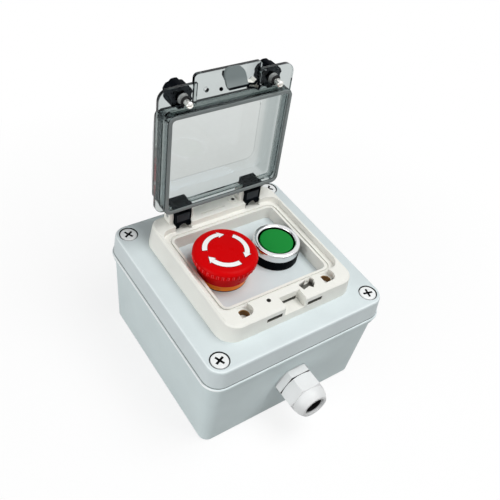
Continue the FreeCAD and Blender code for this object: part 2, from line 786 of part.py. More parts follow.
def cut_hinge_deck(frame):
    """Two open notches for the hinge arms between pairs of pierced lugs, and the deck's small marks."""
    for _, side in SIDES:
        for edge in (-1, 1):
            inner_face = d.hinge_arm_x * side + notch_half * edge
            outer = edge > 0
            lug_foot = new_sketch(frame, "YZ_Plane", inner_face)
            rectangle(lug_foot, d.hinge_y - d.hinge_lug_radius, d.hinge_y + d.hinge_lug_radius,
                      d.ledge_height, d.hinge_height)
            pad(frame, lug_foot, d.hinge_lug_thickness, reverse=not outer)
            lug_round = new_sketch(frame, "YZ_Plane", inner_face)
            circle(lug_round, d.hinge_y, d.hinge_height, d.hinge_lug_radius)
            pad(frame, lug_round, d.hinge_lug_thickness, reverse=not outer)
    notches = new_sketch(frame, "XY_Plane", d.frame_height)
    for _, side in SIDES:
        centre = d.hinge_arm_x * side
        rectangle(notches, centre - notch_half, centre + notch_half, d.hinge_notch_front,
                  d.frame_back + d.frame_end_slope)
    pocket(frame, notches, d.frame_height - d.hinge_notch_floor)
    pin_holes = new_sketch(frame, "YZ_Plane")
    circle(pin_holes, d.hinge_y, d.hinge_height, d.hinge_pin_radius + d.hinge_seat_fit)
    pocket(frame, pin_holes, d.frame_width, both_ways=True)
    line = new_sketch(frame, "XY_Plane", d.frame_height)
    rectangle(line, -d.deck_line_start, d.deck_line_end, d.deck_line_y - d.deck_line_width / 2,
              d.deck_line_y + d.deck_line_width / 2)
    pocket(frame, line, d.deck_line_depth)
    boss = new_sketch(frame, "XY_Plane", d.frame_height)
    circle(boss, d.deck_boss_x, d.deck_boss_y, d.deck_boss_radius)
    pad(frame, boss, d.deck_boss_height)
    boss_hole = new_sketch(frame, "XY_Plane", d.frame_height + d.deck_boss_height)
    circle(boss_hole, d.deck_boss_x, d.deck_boss_y, d.deck_boss_hole_radius)
    pocket(frame, boss_hole, d.deck_boss_hole_depth)


def make_frame_gasket():
    gasket = new_body("frame_gasket")
    section = new_sketch(gasket, "XY_Plane")
    window_ring(section, d.frame_seal_offset, d.frame_seal_offset + d.frame_seal_width)
    pad(gasket, section, d.frame_seal_depth)
    place(gasket, z=lid_top)
    return gasket


def make_frame_screws():
    """Four screws that hold the frame from inside the lid."""
    screws = new_body("frame_screws")
    shanks = new_sketch(screws, "XY_Plane", lid_under)
    frame_screw_circles(shanks, d.frame_screw_radius)
    pad(screws, shanks, d.lid_plate + d.frame_screw_depth)
    heads = new_sketch(screws, "XY_Plane", lid_under)
    frame_screw_circles(heads, d.frame_screw_head_radius)
    pad(screws, heads, d.frame_screw_head_height, reverse=True)
    place(screws, z=lid_top)
    return screws


def make_frame_inserts():
    """Brass bushes that the cover's thumb screws go into."""
    inserts = new_body("frame_inserts")
    section = new_sketch(inserts, "XY_Plane", d.thumb_pocket_floor)
    for side in (-1, 1):
        circle(section, d.thumb_x * side, -d.thumb_y, d.insert_radius)
        circle(section, d.thumb_x * side, -d.thumb_y, d.insert_bore_radius)
    pad(inserts, section, d.insert_length, reverse=True)
    place(inserts, z=lid_top)
    return inserts


def make_hinge_pins():
    pins = new_body("hinge_pins")
    reach = notch_half + d.hinge_lug_thickness
    for _, side in SIDES:
        section = new_sketch(pins, "YZ_Plane", d.hinge_arm_x * side - reach)
        circle(section, d.hinge_y, d.hinge_height, d.hinge_pin_radius)
        pad(pins, section, reach * 2)
    place(pins, z=lid_top)
    return pins


# Cover, drawn closed above the lid and then turned open about the hinge

flange_top = d.flange_bottom + d.flange_thickness
collar_half = d.collar_width / 2


def dome_section(body, height, inset, front, back_inset, radius):
    sketch = new_sketch(body, "XY_Plane", height)
    half = collar_half - inset
    rounded_rectangle(sketch, -half, half, -front, d.collar_back - back_inset, radius)
    return sketch


def collar_section(body, height, *insets):
    """Outlines moved in from the outside of the collar that stands on the ledge."""
    sketch = new_sketch(body, "XY_Plane", height)
    for inset in insets:
        rounded_rectangle(sketch, inset - collar_half, collar_half - inset, inset - d.collar_front,
                          d.collar_back - inset, d.collar_corner_radius - inset)
    return sketch


def dome_sections(body, inside):
    """Foot, shoulder and roof outlines of the dome; inside is 0 for its outer and 1 for its inner face."""
    foot_wall = inside * d.collar_wall
    wall = inside * d.dome_wall
    return [
        dome_section(body, d.flange_bottom, foot_wall, d.dome_front - wall, foot_wall,
                     d.collar_corner_radius - foot_wall),
        dome_section(body, d.dome_shoulder_height - wall / 2, d.dome_shoulder_inset + wall,
                     d.dome_front - d.dome_shoulder_inset - wall, d.dome_shoulder_inset + wall,
                     d.collar_corner_radius - wall / 2),
        dome_section(body, d.dome_height - wall, d.dome_top_inset + wall, d.dome_top_front - wall / 2,
                     d.dome_top_back + wall, d.dome_corner_radius - wall)]


def make_cover_shell():
    """Domed window with a collar that stands on the frame's ledge, two ears and a raised finger grip."""
    shell = new_body("cover_shell")
    loft("Additive", shell, dome_sections(shell, 0))
    pad(shell, collar_section(shell, d.collar_bottom, as_size(0)), flange_top - d.collar_bottom)
    flange = new_sketch(shell, "XY_Plane", d.flange_bottom)
    flange_half = d.flange_width / 2
    rounded_rectangle(flange, -flange_half, flange_half, -d.flange_front, d.flange_back,
                      d.flange_corner_radius)
    pad(shell, flange, d.flange_thickness)
    grip = new_sketch(shell, "XY_Plane", d.grip_bottom)
    grip_half = d.grip_width / 2
    rounded_rectangle(grip, -grip_half, grip_half, -d.grip_front, -(d.dome_front - d.dome_wall / 2),
                      d.grip_corner_radius)
    pad(shell, grip, d.flange_thickness)
    under_grip = new_sketch(shell, "XY_Plane", d.flange_bottom)
    step_half = grip_half - d.grip_step_wall
    rectangle(under_grip, -step_half, step_half, -d.grip_front, -d.collar_front)
    pocket(shell, under_grip, d.grip_bottom - d.flange_bottom, reverse=True)
    pocket(shell, collar_section(shell, d.collar_bottom, d.collar_wall), d.flange_bottom - d.collar_bottom,
           reverse=True)
    loft("Subtractive", shell, dome_sections(shell, 1))
    studs = new_sketch(shell, "XY_Plane", flange_top)
    for side in (-1, 1):
        circle(studs, d.thumb_x * side, -d.thumb_y, d.stud_radius + d.stud_fit)
    pocket(shell, studs, d.flange_thickness)
    small_holes = new_sketch(shell, "XY_Plane", d.grip_bottom)
    circle(small_holes, -d.pin_hole_x, -d.pin_hole_y, d.pin_hole_radius)
    lock_outline(small_holes, as_size(0))
    pocket(shell, small_holes, d.flange_thickness, reverse=True)
    turn_to(shell, cover_pose)
    return shell


def make_cover_seal():
    seal = new_body("cover_seal")
    margin = (d.collar_wall - d.cover_seal_width) / 2
    section = collar_section(seal, d.collar_bottom, margin, margin + d.cover_seal_width)
    pad(seal, section, d.cover_seal_height, reverse=True)
    turn_to(seal, cover_pose)
    return seal


def make_hinge_arm(name, side):
    """Black arm: a jaw on the cover's rear edge, an eye on the pin and an arched tail in the notch."""
    arm = new_body("hinge_arm_" + name)
    profile = new_sketch(arm, "YZ_Plane", d.hinge_arm_x * side - arm_half)
    front = d.hinge_y - d.arm_reach
    tail = d.hinge_y + d.arm_tail
    eye_back = d.hinge_y + d.arm_eye_radius
    under = d.hinge_height - d.arm_below
    over = d.hinge_height + d.arm_above
    outline(profile, [
        (front, under), (tail, under), (tail, under + d.arm_tail_thickness),
        (eye_back, d.hinge_height - d.arm_shoulder), (eye_back, d.hinge_height + d.arm_shoulder),
        (d.hinge_y + d.arm_shoulder, over), (front, over),
        (front, flange_top + d.press_fit), (d.flange_back + d.press_fit, flange_top + d.press_fit),
        (d.flange_back + d.press_fit, d.flange_bottom - d.press_fit), (front, d.flange_bottom - d.press_fit)])
    pad(arm, profile, d.hinge_arm_width)
    eye = new_sketch(arm, "YZ_Plane")
    circle(eye, d.hinge_y, d.hinge_height, d.hinge_pin_radius + d.hinge_running_fit)
    pocket(arm, eye, d.frame_width, both_ways=True)
    slot = new_sketch(arm, "XY_Plane", over)
    slot_front = d.flange_back + d.arm_slot_margin
    rectangle(slot, d.hinge_arm_x * side - d.arm_slot_width / 2, d.hinge_arm_x * side + d.arm_slot_width / 2,
              slot_front, slot_front + d.arm_slot_length)
    circle(slot, d.hinge_arm_x * side, tail, d.arm_arch_radius)
    pocket(arm, slot, d.arm_above + d.arm_below)
    turn_to(arm, cover_pose)
    return arm


def make_screw_sleeves():
    sleeves = new_body("screw_sleeves")
    section = new_sketch(sleeves, "XY_Plane", d.sleeve_bottom)
    for side in (-1, 1):
        circle(section, d.thumb_x * side, -d.thumb_y, d.sleeve_radius)
        circle(section, d.thumb_x * side, -d.thumb_y, d.stud_radius + d.stud_fit)
    pad(sleeves, section, d.flange_bottom - d.sleeve_bottom)
    turn_to(sleeves, cover_pose)
    return sleeves


def make_stud_rings():
    """Rubber rings on the studs that hold the thumb screws in their sleeves."""
    rings = new_body("stud_rings")
    section = new_sketch(rings, "XY_Plane", d.sleeve_bottom)
    for side in (-1, 1):
        circle(section, d.thumb_x * side, -d.thumb_y, d.stud_ring_radius)
        circle(section, d.thumb_x * side, -d.thumb_y, d.stud_radius + d.stud_fit)
    pad(rings, section, d.stud_ring, reverse=True)
    turn_to(rings, cover_pose)
    return rings


def make_cover_latch():
    """Grey tongue below the grip: its straight end hooks into the frame's notch, its arched end is pulled."""
    latch = new_body("cover_latch")
    profile = new_sketch(latch, "YZ_Plane")
    web_front = -(d.latch_web_back + d.latch_web_thickness)
    rise = (d.latch_tip_height - d.latch_hook_height) / (d.latch_tip_y - d.latch_hook_y)
    top_at_web_back = d.latch_hook_height + d.latch_thickness + rise * (d.latch_web_back - d.latch_hook_y)
    top_at_web_front = top_at_web_back + rise * d.latch_web_thickness
    outline(profile, [
        (-d.latch_tip_y, d.latch_tip_height), (-d.latch_hook_y, d.latch_hook_height),
        (-d.latch_hook_y, d.latch_hook_height + d.latch_thickness), (-d.latch_web_back, top_at_web_back),
        (-d.latch_web_back, d.grip_bottom), (web_front, d.grip_bottom), (web_front, top_at_web_front),
        (-d.latch_tip_y, d.latch_tip_height + d.latch_thickness)])
    pad(latch, profile, d.latch_width, both_ways=True)
    dress("Fillet", latch, d.latch_corner_radius,
          lambda edge: abs(edge.BoundBox.YMax + d.latch_tip_y.number) < 1e-4
          and abs(edge.BoundBox.XMax - edge.BoundBox.XMin) < 1e-4)
    turn_to(latch, cover_pose)
    return latch


def make_lock_sleeve():
    sleeve = new_body("lock_sleeve")
    section = new_sketch(sleeve, "XY_Plane", d.grip_bottom)
    lock_outline(section, d.lock_sleeve_wall)
    lock_outline(section, as_size(0))
    pad(sleeve, section, d.grip_bottom - d.frame_height + d.flange_thickness / 2, reverse=True)
    turn_to(sleeve, cover_pose)
    return sleeve


knob_bottom = flange_top + d.knob_gap
stud_top = knob_bottom + d.knob_height - d.knob_blind


def make_thumb_screw(name, side):
    """Fluted black knob on a slotted stud that turns in its sleeve."""
    stud = turned("thumb_stud_" + name, [
        (0, d.stud_tip), (d.stud_radius - d.stud_edge, d.stud_tip), (d.stud_radius, d.stud_tip + d.stud_edge),
        (d.stud_radius, stud_top), (0, stud_top)])
    slot = new_sketch(stud, "XY_Plane", d.stud_tip)
    rectangle(slot, -d.stud_radius, d.stud_radius, -d.stud_slot_width / 2, d.stud_slot_width / 2)
    pocket(stud, slot, d.stud_slot_depth, reverse=True)
    knob = turned("thumb_knob_" + name, [
        (d.stud_radius + d.press_fit, knob_bottom), (d.knob_radius, knob_bottom),
        (d.knob_radius, knob_bottom + d.knob_height), (0, knob_bottom + d.knob_height),
        (0, stud_top), (d.stud_radius + d.press_fit, stud_top)])
    dress("Fillet", knob, d.knob_edge_radius, lambda edge: at_height(edge, knob_bottom + d.knob_height))
    flute = new_sketch(knob, "XY_Plane", knob_bottom)
    circle(flute, d.knob_radius + d.knob_flute_offset, 0, d.knob_flute_radius)
    first_flute = pocket(knob, flute, d.knob_height, reverse=True)
    polar_pattern(knob, first_flute, flute, KNOB_FLUTES)
    for piece in (stud, knob):
        turn_to(piece, cover_pose, x=d.thumb_x * side, y=-d.thumb_y)
    return [stud, knob]


# Operators, drawn about their own axis above the lid

bore_floor = d.operator_floor - d.operator_depth
piston_radius = d.operator_bore_radius - d.operator_running_fit
sleeve_bore = d.operator_radius + d.operator_fit


def make_operator_mount(name, centre, barrel_top, collar_radius):
    """Threaded barrel through the lid with its gasket, nut, contact block and terminal screws."""
    barrel = turned(name + "_barrel", [
        (d.rod_radius + d.rod_clearance, -d.operator_depth), (d.operator_radius, -d.operator_depth),
        (d.operator_radius, barrel_top), (d.operator_bore_radius, barrel_top),
        (d.operator_bore_radius, bore_floor), (d.rod_radius + d.rod_clearance, bore_floor)])
    gasket = ring(name + "_gasket", sleeve_bore, collar_radius, as_size(0), d.gasket_thickness)
    nut = new_body(name + "_nut")
    nut_section = new_sketch(nut, "XY_Plane", lid_under)
    hexagon(nut_section, d.operator_nut_flats)
    circle(nut_section, 0, 0, sleeve_bore)
    pad(nut, nut_section, d.operator_nut_height, reverse=True)

    block = new_body(name + "_contact_block")
    block_section = new_sketch(block, "XY_Plane", -d.operator_depth)
    rectangle(block_section, -d.block_width / 2, d.block_width / 2, -d.block_length / 2, d.block_length / 2)
    pad(block, block_section, d.block_height, reverse=True)
    dress("Chamfer", block, d.block_edge, lambda edge: edge.BoundBox.ZLength > d.block_height.number / 2)
    well = new_sketch(block, "XY_Plane", -d.operator_depth)
    circle(well, 0, 0, d.block_well_radius)
    pocket(block, well, d.block_well_depth)
    block_bottom = -(d.operator_depth + d.block_height)
    screw_wells = new_sketch(block, "XY_Plane", block_bottom)
    terminal_circles(screw_wells, d.terminal_radius + d.terminal_clearance)
    pocket(block, screw_wells, d.terminal_well_depth, reverse=True)
    screws = new_body(name + "_terminal_screws")
    screw_section = new_sketch(screws, "XY_Plane", block_bottom + d.terminal_well_depth)
    terminal_circles(screw_section, d.terminal_radius)
    pad(screws, screw_section, d.terminal_height, reverse=True)
    pieces = [barrel, gasket, nut, block, screws]
    for piece in pieces:
        place(piece, x=centre, z=lid_top)
    return pieces


def terminal_circles(sketch, radius):
    for side_x, side_y in LID_CORNERS:
        circle(sketch, d.terminal_x * side_x, d.terminal_y * side_y, radius)


def make_spring(name, centre):
    """Return spring between the barrel's floor and the piston."""
    spring = new_body(name + "_spring")
    wire = new_sketch(spring, "XZ_Plane")
    start = bore_floor + d.spring_wire_radius
    circle(wire, d.spring_radius, start, d.spring_wire_radius)
    coil = spring.newObject("PartDesign::AdditiveHelix", name + "_coil")
    coil.Profile = wire
    coil.ReferenceAxis = (wire, ["V_Axis"])
    coil.Mode = "pitch-height-angle"
    coil.setExpression("Pitch", d.spring_pitch.formula)
    coil.setExpression("Height", (-d.piston_bottom - bore_floor - d.spring_wire_radius * 2).formula)
    doc.recompute()
    place(spring, x=centre, z=lid_top)
    return spring


def make_estop():
    """Mushroom head that turns on a sprung stem; its skirt slides down over the orange collar."""
    collar = ring("estop_collar", sleeve_bore, d.estop_collar_radius, d.gasket_thickness, d.estop_collar_top)
    stem = turned("estop_stem", [
        (0, -d.rod_end_depth), (d.rod_radius, -d.rod_end_depth), (d.rod_radius, -d.piston_bottom),
        (piston_radius, -d.piston_bottom), (piston_radius, d.estop_boss_bottom - d.estop_axial_clearance),
        (d.estop_stem_radius, d.estop_boss_bottom - d.estop_axial_clearance),
        (d.estop_stem_radius, d.estop_stem_top), (0, d.estop_stem_top)])
    skirt_inner = d.estop_collar_radius + d.estop_skirt_clearance
    skirt_outer = skirt_inner + d.estop_skirt_wall
    boss_bore = d.estop_stem_radius + d.operator_running_fit
    boss_top = d.estop_stem_top + d.estop_axial_clearance
    ceiling = d.estop_top - d.estop_plate
    skirt_bottom = d.gasket_thickness + d.estop_travel + d.estop_stop_gap
    flare_bottom = d.estop_rim_bottom - d.estop_rim_chamfer
    flare_radius = d.estop_head_radius - d.estop_rim_chamfer
    crown_rise = d.estop_top - d.estop_crown_height
    crown_curve = (d.estop_crown_radius * d.estop_crown_radius + crown_rise * crown_rise) / (crown_rise * 2)
    head = turned("estop_head", [
        (skirt_inner, skirt_bottom), (skirt_outer, skirt_bottom), (flare_radius, flare_bottom),
        (d.estop_head_radius, d.estop_rim_bottom),
        (d.estop_head_radius, d.estop_rim_top, d.estop_shoulder_curve),
        (d.estop_crown_radius, d.estop_crown_height, crown_curve), (0, d.estop_top),
        (0, boss_top), (boss_bore, boss_top),
        (boss_bore, d.estop_boss_bottom), (d.estop_boss_radius, d.estop_boss_bottom),
        (d.estop_boss_radius, ceiling), (flare_radius - d.estop_skirt_wall, ceiling),
        (flare_radius - d.estop_flare_wall, flare_bottom),
        (skirt_inner, d.estop_collar_top + d.estop_skirt_clearance)])
    rib_bottom = flare_bottom + d.estop_rim_chamfer / 2
    rib = new_sketch(head, "XY_Plane", rib_bottom)
    circle(rib, d.estop_head_radius, 0, d.estop_rib_radius)
    first_rib = pocket(head, rib, d.estop_rib_height, reverse=True)
    polar_pattern(head, first_rib, rib, ESTOP_RIBS)
    pieces = [collar, stem, head]
    for piece in pieces:
        place(piece, x=d.estop_x, z=lid_top)
    mount = make_operator_mount("estop", d.estop_x, d.estop_collar_top, d.estop_collar_radius)
    return pieces + mount + [make_spring("estop", d.estop_x)]


def make_start_button():
    collar = ring("start_collar", sleeve_bore, d.start_collar_radius, d.gasket_thickness, d.start_collar_top)
    bezel = ring("start_bezel", d.bezel_bore_radius, d.bezel_radius, d.start_collar_top, d.bezel_top)
    dress("Fillet", bezel, d.bezel_edge_radius, lambda edge: at_height(edge, d.bezel_top))
    cap = turned("start_cap", [
        (0, d.cap_bottom), (d.cap_radius, d.cap_bottom), (d.cap_radius, d.cap_top), (0, d.cap_top)])
    dress("Fillet", cap, d.cap_edge_radius, lambda edge: at_height(edge, d.cap_top))
    plunger = turned("start_plunger", [
        (0, -d.rod_end_depth), (d.rod_radius, -d.rod_end_depth), (d.rod_radius, -d.piston_bottom),
        (piston_radius, -d.piston_bottom), (piston_radius, d.cap_bottom), (0, d.cap_bottom)])
    pieces = [collar, bezel, cap, plunger]
    for piece in pieces:
        place(piece, x=d.start_x, z=lid_top)
    barrel_top = d.cap_bottom - d.start_travel - d.start_stop_gap
    mount = make_operator_mount("start", d.start_x, barrel_top, d.start_collar_radius)
    return pieces + mount + [make_spring("start", d.start_x)]


# Cable gland, drawn about its own axis outward from its seat, then turned to the front

gland_seat = half_depth - d.base_foot_inset + wall_slope * d.gland_height + d.gland_washer
gland_pose = FreeCAD.Placement(FreeCAD.Vector(0, -gland_seat.number, d.gland_height.number),
                               FreeCAD.Rotation(FreeCAD.Vector(1, 0, 0), 90))


def make_gland():
    body = new_body("gland_body")
    flange = new_sketch(body, "XY_Plane")
    hexagon(flange, d.gland_flats)
    pad(body, flange, d.gland_flange)
    thread = new_sketch(body, "XY_Plane", -d.gland_spigot)
    circle(thread, 0, 0, d.gland_thread_radius)
    pad(body, thread, d.gland_spigot + d.gland_thread_end)
    bore = new_sketch(body, "XY_Plane", -d.gland_spigot)
    circle(bore, 0, 0, d.gland_bore_radius)
    pocket(body, bore, d.gland_spigot + d.gland_thread_end, reverse=True)

    uncut = d.gland_washer * 2
    washer = ring("gland_washer", d.gland_thread_radius + d.gland_hole_clearance, d.gland_washer_radius,
                  -uncut, as_size(0))
    wall_side = new_sketch(washer, "YZ_Plane")
    lean = wall_slope * d.gland_washer_radius
    outline(wall_side, [
        (-d.gland_washer_radius, -(uncut + lean)), (d.gland_washer_radius, -(uncut + lean)),
        (d.gland_washer_radius, lean - d.gland_washer), (-d.gland_washer_radius, -(lean + d.gland_washer))])
    pocket(washer, wall_side, d.gland_washer_radius * 2, both_ways=True)

    locknut = new_body("gland_locknut")
    lowest_flat = d.gland_height - d.gland_locknut_flats / 2
    inner_rise = (lowest_flat - d.floor_thickness) / (d.base_height - d.floor_thickness)
    inner_inset = d.base_foot_inset + d.wall_thickness - (d.base_foot_inset - d.base_wall_inset) * inner_rise
    locknut_seat = half_depth - inner_inset - gland_seat - d.press_fit
    locknut_section = new_sketch(locknut, "XY_Plane", locknut_seat)
    hexagon(locknut_section, d.gland_locknut_flats)
    circle(locknut_section, 0, 0, d.gland_thread_radius + d.gland_nut_fit)
    pad(locknut, locknut_section, d.gland_locknut, reverse=True)

    seal = ring("gland_seal", d.gland_seal_bore_radius, d.gland_bore_radius - d.gland_seal_fit,
                d.gland_seal_start, d.gland_seal_end)
    pieces = [body, washer, locknut, seal, make_gland_nut()]
    for piece in pieces:
        turn_to(piece, gland_pose)
    return pieces


def make_gland_nut():
    """Hexagon nut with a rounded nose, hollow to the thread and open at its mouth."""
    nut = new_body("gland_nut")
    bottom = d.gland_flange + d.gland_nut_gap
    hex_top = bottom + d.gland_nut_hex
    nose = hex_top + d.gland_nut_dome
    section = new_sketch(nut, "XY_Plane", bottom)
    hexagon(section, d.gland_flats)
    pad(nut, section, d.gland_nut_hex)
    outside = d.gland_flats / math.sqrt(3) + d.gland_hex_chamfer
    chamfers = new_sketch(nut, "XZ_Plane")
    flat = d.gland_flats / 2
    outline(chamfers, [(flat, bottom), (outside, bottom), (outside, bottom + d.gland_hex_chamfer)])
    outline(chamfers, [(flat, hex_top), (outside, hex_top - d.gland_hex_chamfer), (outside, hex_top)])
    revolve(nut, chamfers, "Groove")
    dome = new_sketch(nut, "XZ_Plane")
    outline(dome, [(0, hex_top), (d.gland_dome_radius, hex_top, d.gland_dome_curve),
                   (d.gland_mouth_rim_radius, nose), (0, nose)])
    revolve(nut, dome)
    thread = d.gland_thread_radius + d.gland_nut_fit
    roof = d.gland_thread_end + d.gland_nut_roof
    hollow = new_sketch(nut, "XZ_Plane")
    outline(hollow, [(0, bottom), (thread, bottom), (thread, roof),
                     (d.gland_mouth_radius, roof + d.gland_nut_roof), (d.gland_mouth_radius, nose),
                     (0, nose)])
    revolve(nut, hollow, "Groove")
    return nut


parts = [make_base(), make_lid(), make_lid_gasket(), make_lid_screws(), make_window_frame(),
         make_frame_gasket(), make_frame_screws(), make_frame_inserts(), make_hinge_pins(),
         make_cover_shell(), make_cover_seal(), make_screw_sleeves(), make_stud_rings(), make_cover_latch(),
         make_lock_sleeve()]
for side_name, side_sign in SIDES:
    parts.append(make_hinge_arm(side_name, side_sign))
    parts += make_thumb_screw(side_name, side_sign)
parts += make_estop() + make_start_button() + make_gland()
doc.recompute()

for item in doc.Objects:
    if "Invalid" in item.State or "Error" in item.State:
        raise ValueError(f"{item.Label} failed: {item.State}")
for part in parts:
    if part.Shape.isNull() or not part.Shape.isValid() or not part.Shape.Solids:
        raise ValueError(f"{part.Label} has no valid solid")
for part in parts:
    part.Shape.exportStep(f"parts/{part.Label}.step")
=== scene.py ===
import math

import bmesh
import bpy
from mathutils import Euler, Matrix, Vector


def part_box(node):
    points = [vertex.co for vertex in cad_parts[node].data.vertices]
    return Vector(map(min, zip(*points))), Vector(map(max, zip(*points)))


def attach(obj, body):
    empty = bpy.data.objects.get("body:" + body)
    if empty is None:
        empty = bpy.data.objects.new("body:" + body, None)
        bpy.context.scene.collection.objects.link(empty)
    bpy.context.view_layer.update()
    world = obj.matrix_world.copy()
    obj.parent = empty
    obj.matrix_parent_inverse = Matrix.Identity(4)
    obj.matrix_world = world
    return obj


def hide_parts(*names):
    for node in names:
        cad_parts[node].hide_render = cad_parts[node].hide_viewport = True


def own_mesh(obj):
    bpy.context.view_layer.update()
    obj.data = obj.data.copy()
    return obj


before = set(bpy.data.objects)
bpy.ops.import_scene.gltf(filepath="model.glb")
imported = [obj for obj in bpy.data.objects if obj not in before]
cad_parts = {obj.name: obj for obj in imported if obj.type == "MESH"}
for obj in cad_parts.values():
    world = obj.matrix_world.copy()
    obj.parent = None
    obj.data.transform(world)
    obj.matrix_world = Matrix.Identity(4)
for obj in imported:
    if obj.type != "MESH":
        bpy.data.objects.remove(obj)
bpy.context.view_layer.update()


# Enclosure base: a deep tapered tub with a flared rim, injection moulded in light grey plastic with a fine
# matt grain. It is screwed to a wall through the four holes in its floor.

def add_group(name, inputs, outputs):
    """An empty shader group with named sockets, each given as (name, kind)."""
    group = bpy.data.node_groups.new(name, "ShaderNodeTree")
    for sockets, direction in ((inputs, "INPUT"), (outputs, "OUTPUT")):
        for socket, kind in sockets:
            group.interface.new_socket(name=socket, in_out=direction, socket_type="NodeSocket" + kind)
    return group, group.nodes.new("NodeGroupInput"), group.nodes.new("NodeGroupOutput")


def feed(tree, socket, value):
    """Link a socket to its source, or set it where the value is a plain one."""
    if isinstance(value, bpy.types.NodeSocket):
        tree.links.new(value, socket)
    else:
        socket.default_value = value


def place_on(tree):
    """Where a point lies, in the piece's own coordinates."""
    return tree.nodes.new("ShaderNodeTexCoord").outputs["Object"]


def noise_on(tree, cells, detail):
    """Noise over a piece, in cells per metre."""
    noise = tree.nodes.new("ShaderNodeTexNoise")
    noise.inputs["Detail"].default_value = detail
    tree.links.new(place_on(tree), noise.inputs["Vector"])
    feed(tree, noise.inputs["Scale"], cells)
    return noise.outputs["Fac"]


def spread(tree, value, low, high, start=0.3, end=0.7):
    """A value between start and end, spread out to run from low to high."""
    node = tree.nodes.new("ShaderNodeMapRange")
    feed(tree, node.inputs["Value"], value)
    feed(tree, node.inputs["From Min"], start)
    feed(tree, node.inputs["From Max"], end)
    feed(tree, node.inputs["To Min"], low)
    feed(tree, node.inputs["To Max"], high)
    return node.outputs["Result"]


def calculate(tree, operation, first, second):
    """One step of arithmetic on two values."""
    node = tree.nodes.new("ShaderNodeMath")
    node.operation = operation
    feed(tree, node.inputs[0], first)
    feed(tree, node.inputs[1], second)
    return node.outputs["Value"]


def edge_mask(tree, rounded_normal):
    """1 on an edge, where the rounded normal turns away from the true one, and 0 on a flat face."""
    surface = tree.nodes.new("ShaderNodeNewGeometry")
    turn = tree.nodes.new("ShaderNodeVectorMath")
    turn.operation = "DOT_PRODUCT"
    tree.links.new(rounded_normal, turn.inputs[0])
    tree.links.new(surface.outputs["Normal"], turn.inputs[1])
    return spread(tree, turn.outputs["Value"], 1, 0, 0.75, 0.98)


moulded_skin, skin_in, skin_out = add_group(
    "moulded_skin",
    [("Color", "Color"), ("Roughness", "Float"), ("Grain", "Float"), ("Mottle", "Float"), ("Handling", "Float"),
     ("Edge Radius", "Float"), ("Edge Rub", "Float")],
    [("Color", "Color"), ("Roughness", "Float"), ("Height", "Float"), ("Normal", "Vector")])
flow_cells = 45
smudge_cells = 130
speck_depth = 0.01
wear_polish = 0.3
grain = noise_on(moulded_skin, skin_in.outputs["Grain"], 3)
flow = noise_on(moulded_skin, flow_cells, 4)
smudge = noise_on(moulded_skin, smudge_cells, 6)
rounded = moulded_skin.nodes.new("ShaderNodeBevel")
rounded.samples = 6
moulded_skin.links.new(skin_in.outputs["Edge Radius"], rounded.inputs["Radius"])
edge = edge_mask(moulded_skin, rounded.outputs["Normal"])
worn = calculate(moulded_skin, "MULTIPLY", edge, spread(moulded_skin, smudge, 0, skin_in.outputs["Edge Rub"]))
darkest = calculate(moulded_skin, "SUBTRACT", 1, skin_in.outputs["Mottle"])
palest = calculate(moulded_skin, "ADD", 1, calculate(moulded_skin, "MULTIPLY", skin_in.outputs["Mottle"], 0.5))
speck = spread(moulded_skin, grain, -speck_depth, speck_depth)
drift = calculate(moulded_skin, "ADD", spread(moulded_skin, flow, darkest, palest), speck)
tone = moulded_skin.nodes.new("ShaderNodeHueSaturation")
moulded_skin.links.new(skin_in.outputs["Color"], tone.inputs["Color"])
moulded_skin.links.new(calculate(moulded_skin, "ADD", drift, worn), tone.inputs["Value"])
moulded_skin.links.new(tone.outputs["Color"], skin_out.inputs["Color"])
smear = calculate(moulded_skin, "MULTIPLY", spread(moulded_skin, smudge, -1, 1), skin_in.outputs["Handling"])
polish = calculate(moulded_skin, "SUBTRACT", smear, calculate(moulded_skin, "MULTIPLY", worn, wear_polish))
rough = calculate(moulded_skin, "ADD", skin_in.outputs["Roughness"], polish)
moulded_skin.links.new(rough, skin_out.inputs["Roughness"])
moulded_skin.links.new(grain, skin_out.inputs["Height"])
moulded_skin.links.new(rounded.outputs["Normal"], skin_out.inputs["Normal"])


def moulded_plastic(name, colour, roughness, gloss=0.2, grain=2400, depth=0.00002, mottle=0.04, handling=0.04,
                    edge_radius=0.00035, edge_rub=0.1):
    """A moulded plastic: its colour drifts a little, its grain shows as gloss and relief, its edges are worn."""
    material = bpy.data.materials.new(name)
    material.use_nodes = True
    nodes, links = material.node_tree.nodes, material.node_tree.links
    skin = nodes.new("ShaderNodeGroup")
    skin.node_tree = moulded_skin
    for socket, value in (("Color", (*colour, 1)), ("Roughness", roughness), ("Grain", grain), ("Mottle", mottle),
                          ("Handling", handling), ("Edge Radius", edge_radius), ("Edge Rub", edge_rub)):
        skin.inputs[socket].default_value = value
    relief = nodes.new("ShaderNodeBump")
    relief.inputs["Strength"].default_value = 1
    relief.inputs["Distance"].default_value = depth
    shader = nodes["Principled BSDF"]
    shader.inputs["Specular IOR Level"].default_value = gloss
    links.new(skin.outputs["Color"], shader.inputs["Base Color"])
    links.new(skin.outputs["Roughness"], shader.inputs["Roughness"])
    links.new(skin.outputs["Height"], relief.inputs["Height"])
    links.new(skin.outputs["Normal"], relief.inputs["Normal"])
    links.new(relief.outputs["Normal"], shader.inputs["Normal"])
    return material


def dress(piece, *materials):
    """Give a piece its finishes, the first one all over."""
    piece.data.materials.clear()
    for material in materials:
        piece.data.materials.append(material)


def finish_in(material, *node_names):
    """Give CAD pieces their finish."""
    for name in node_names:
        dress(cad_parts[name], material)


grey_abs = moulded_plastic("grey_abs", (0.622, 0.712, 0.72), 0.48, gloss=0.25)
finish_in(grey_abs, "enclosure_base")


# Lid gasket: a round cord of black rubber, moulded as one ring. It is pressed into the groove of the base's rim and
# squeezed by the lid.

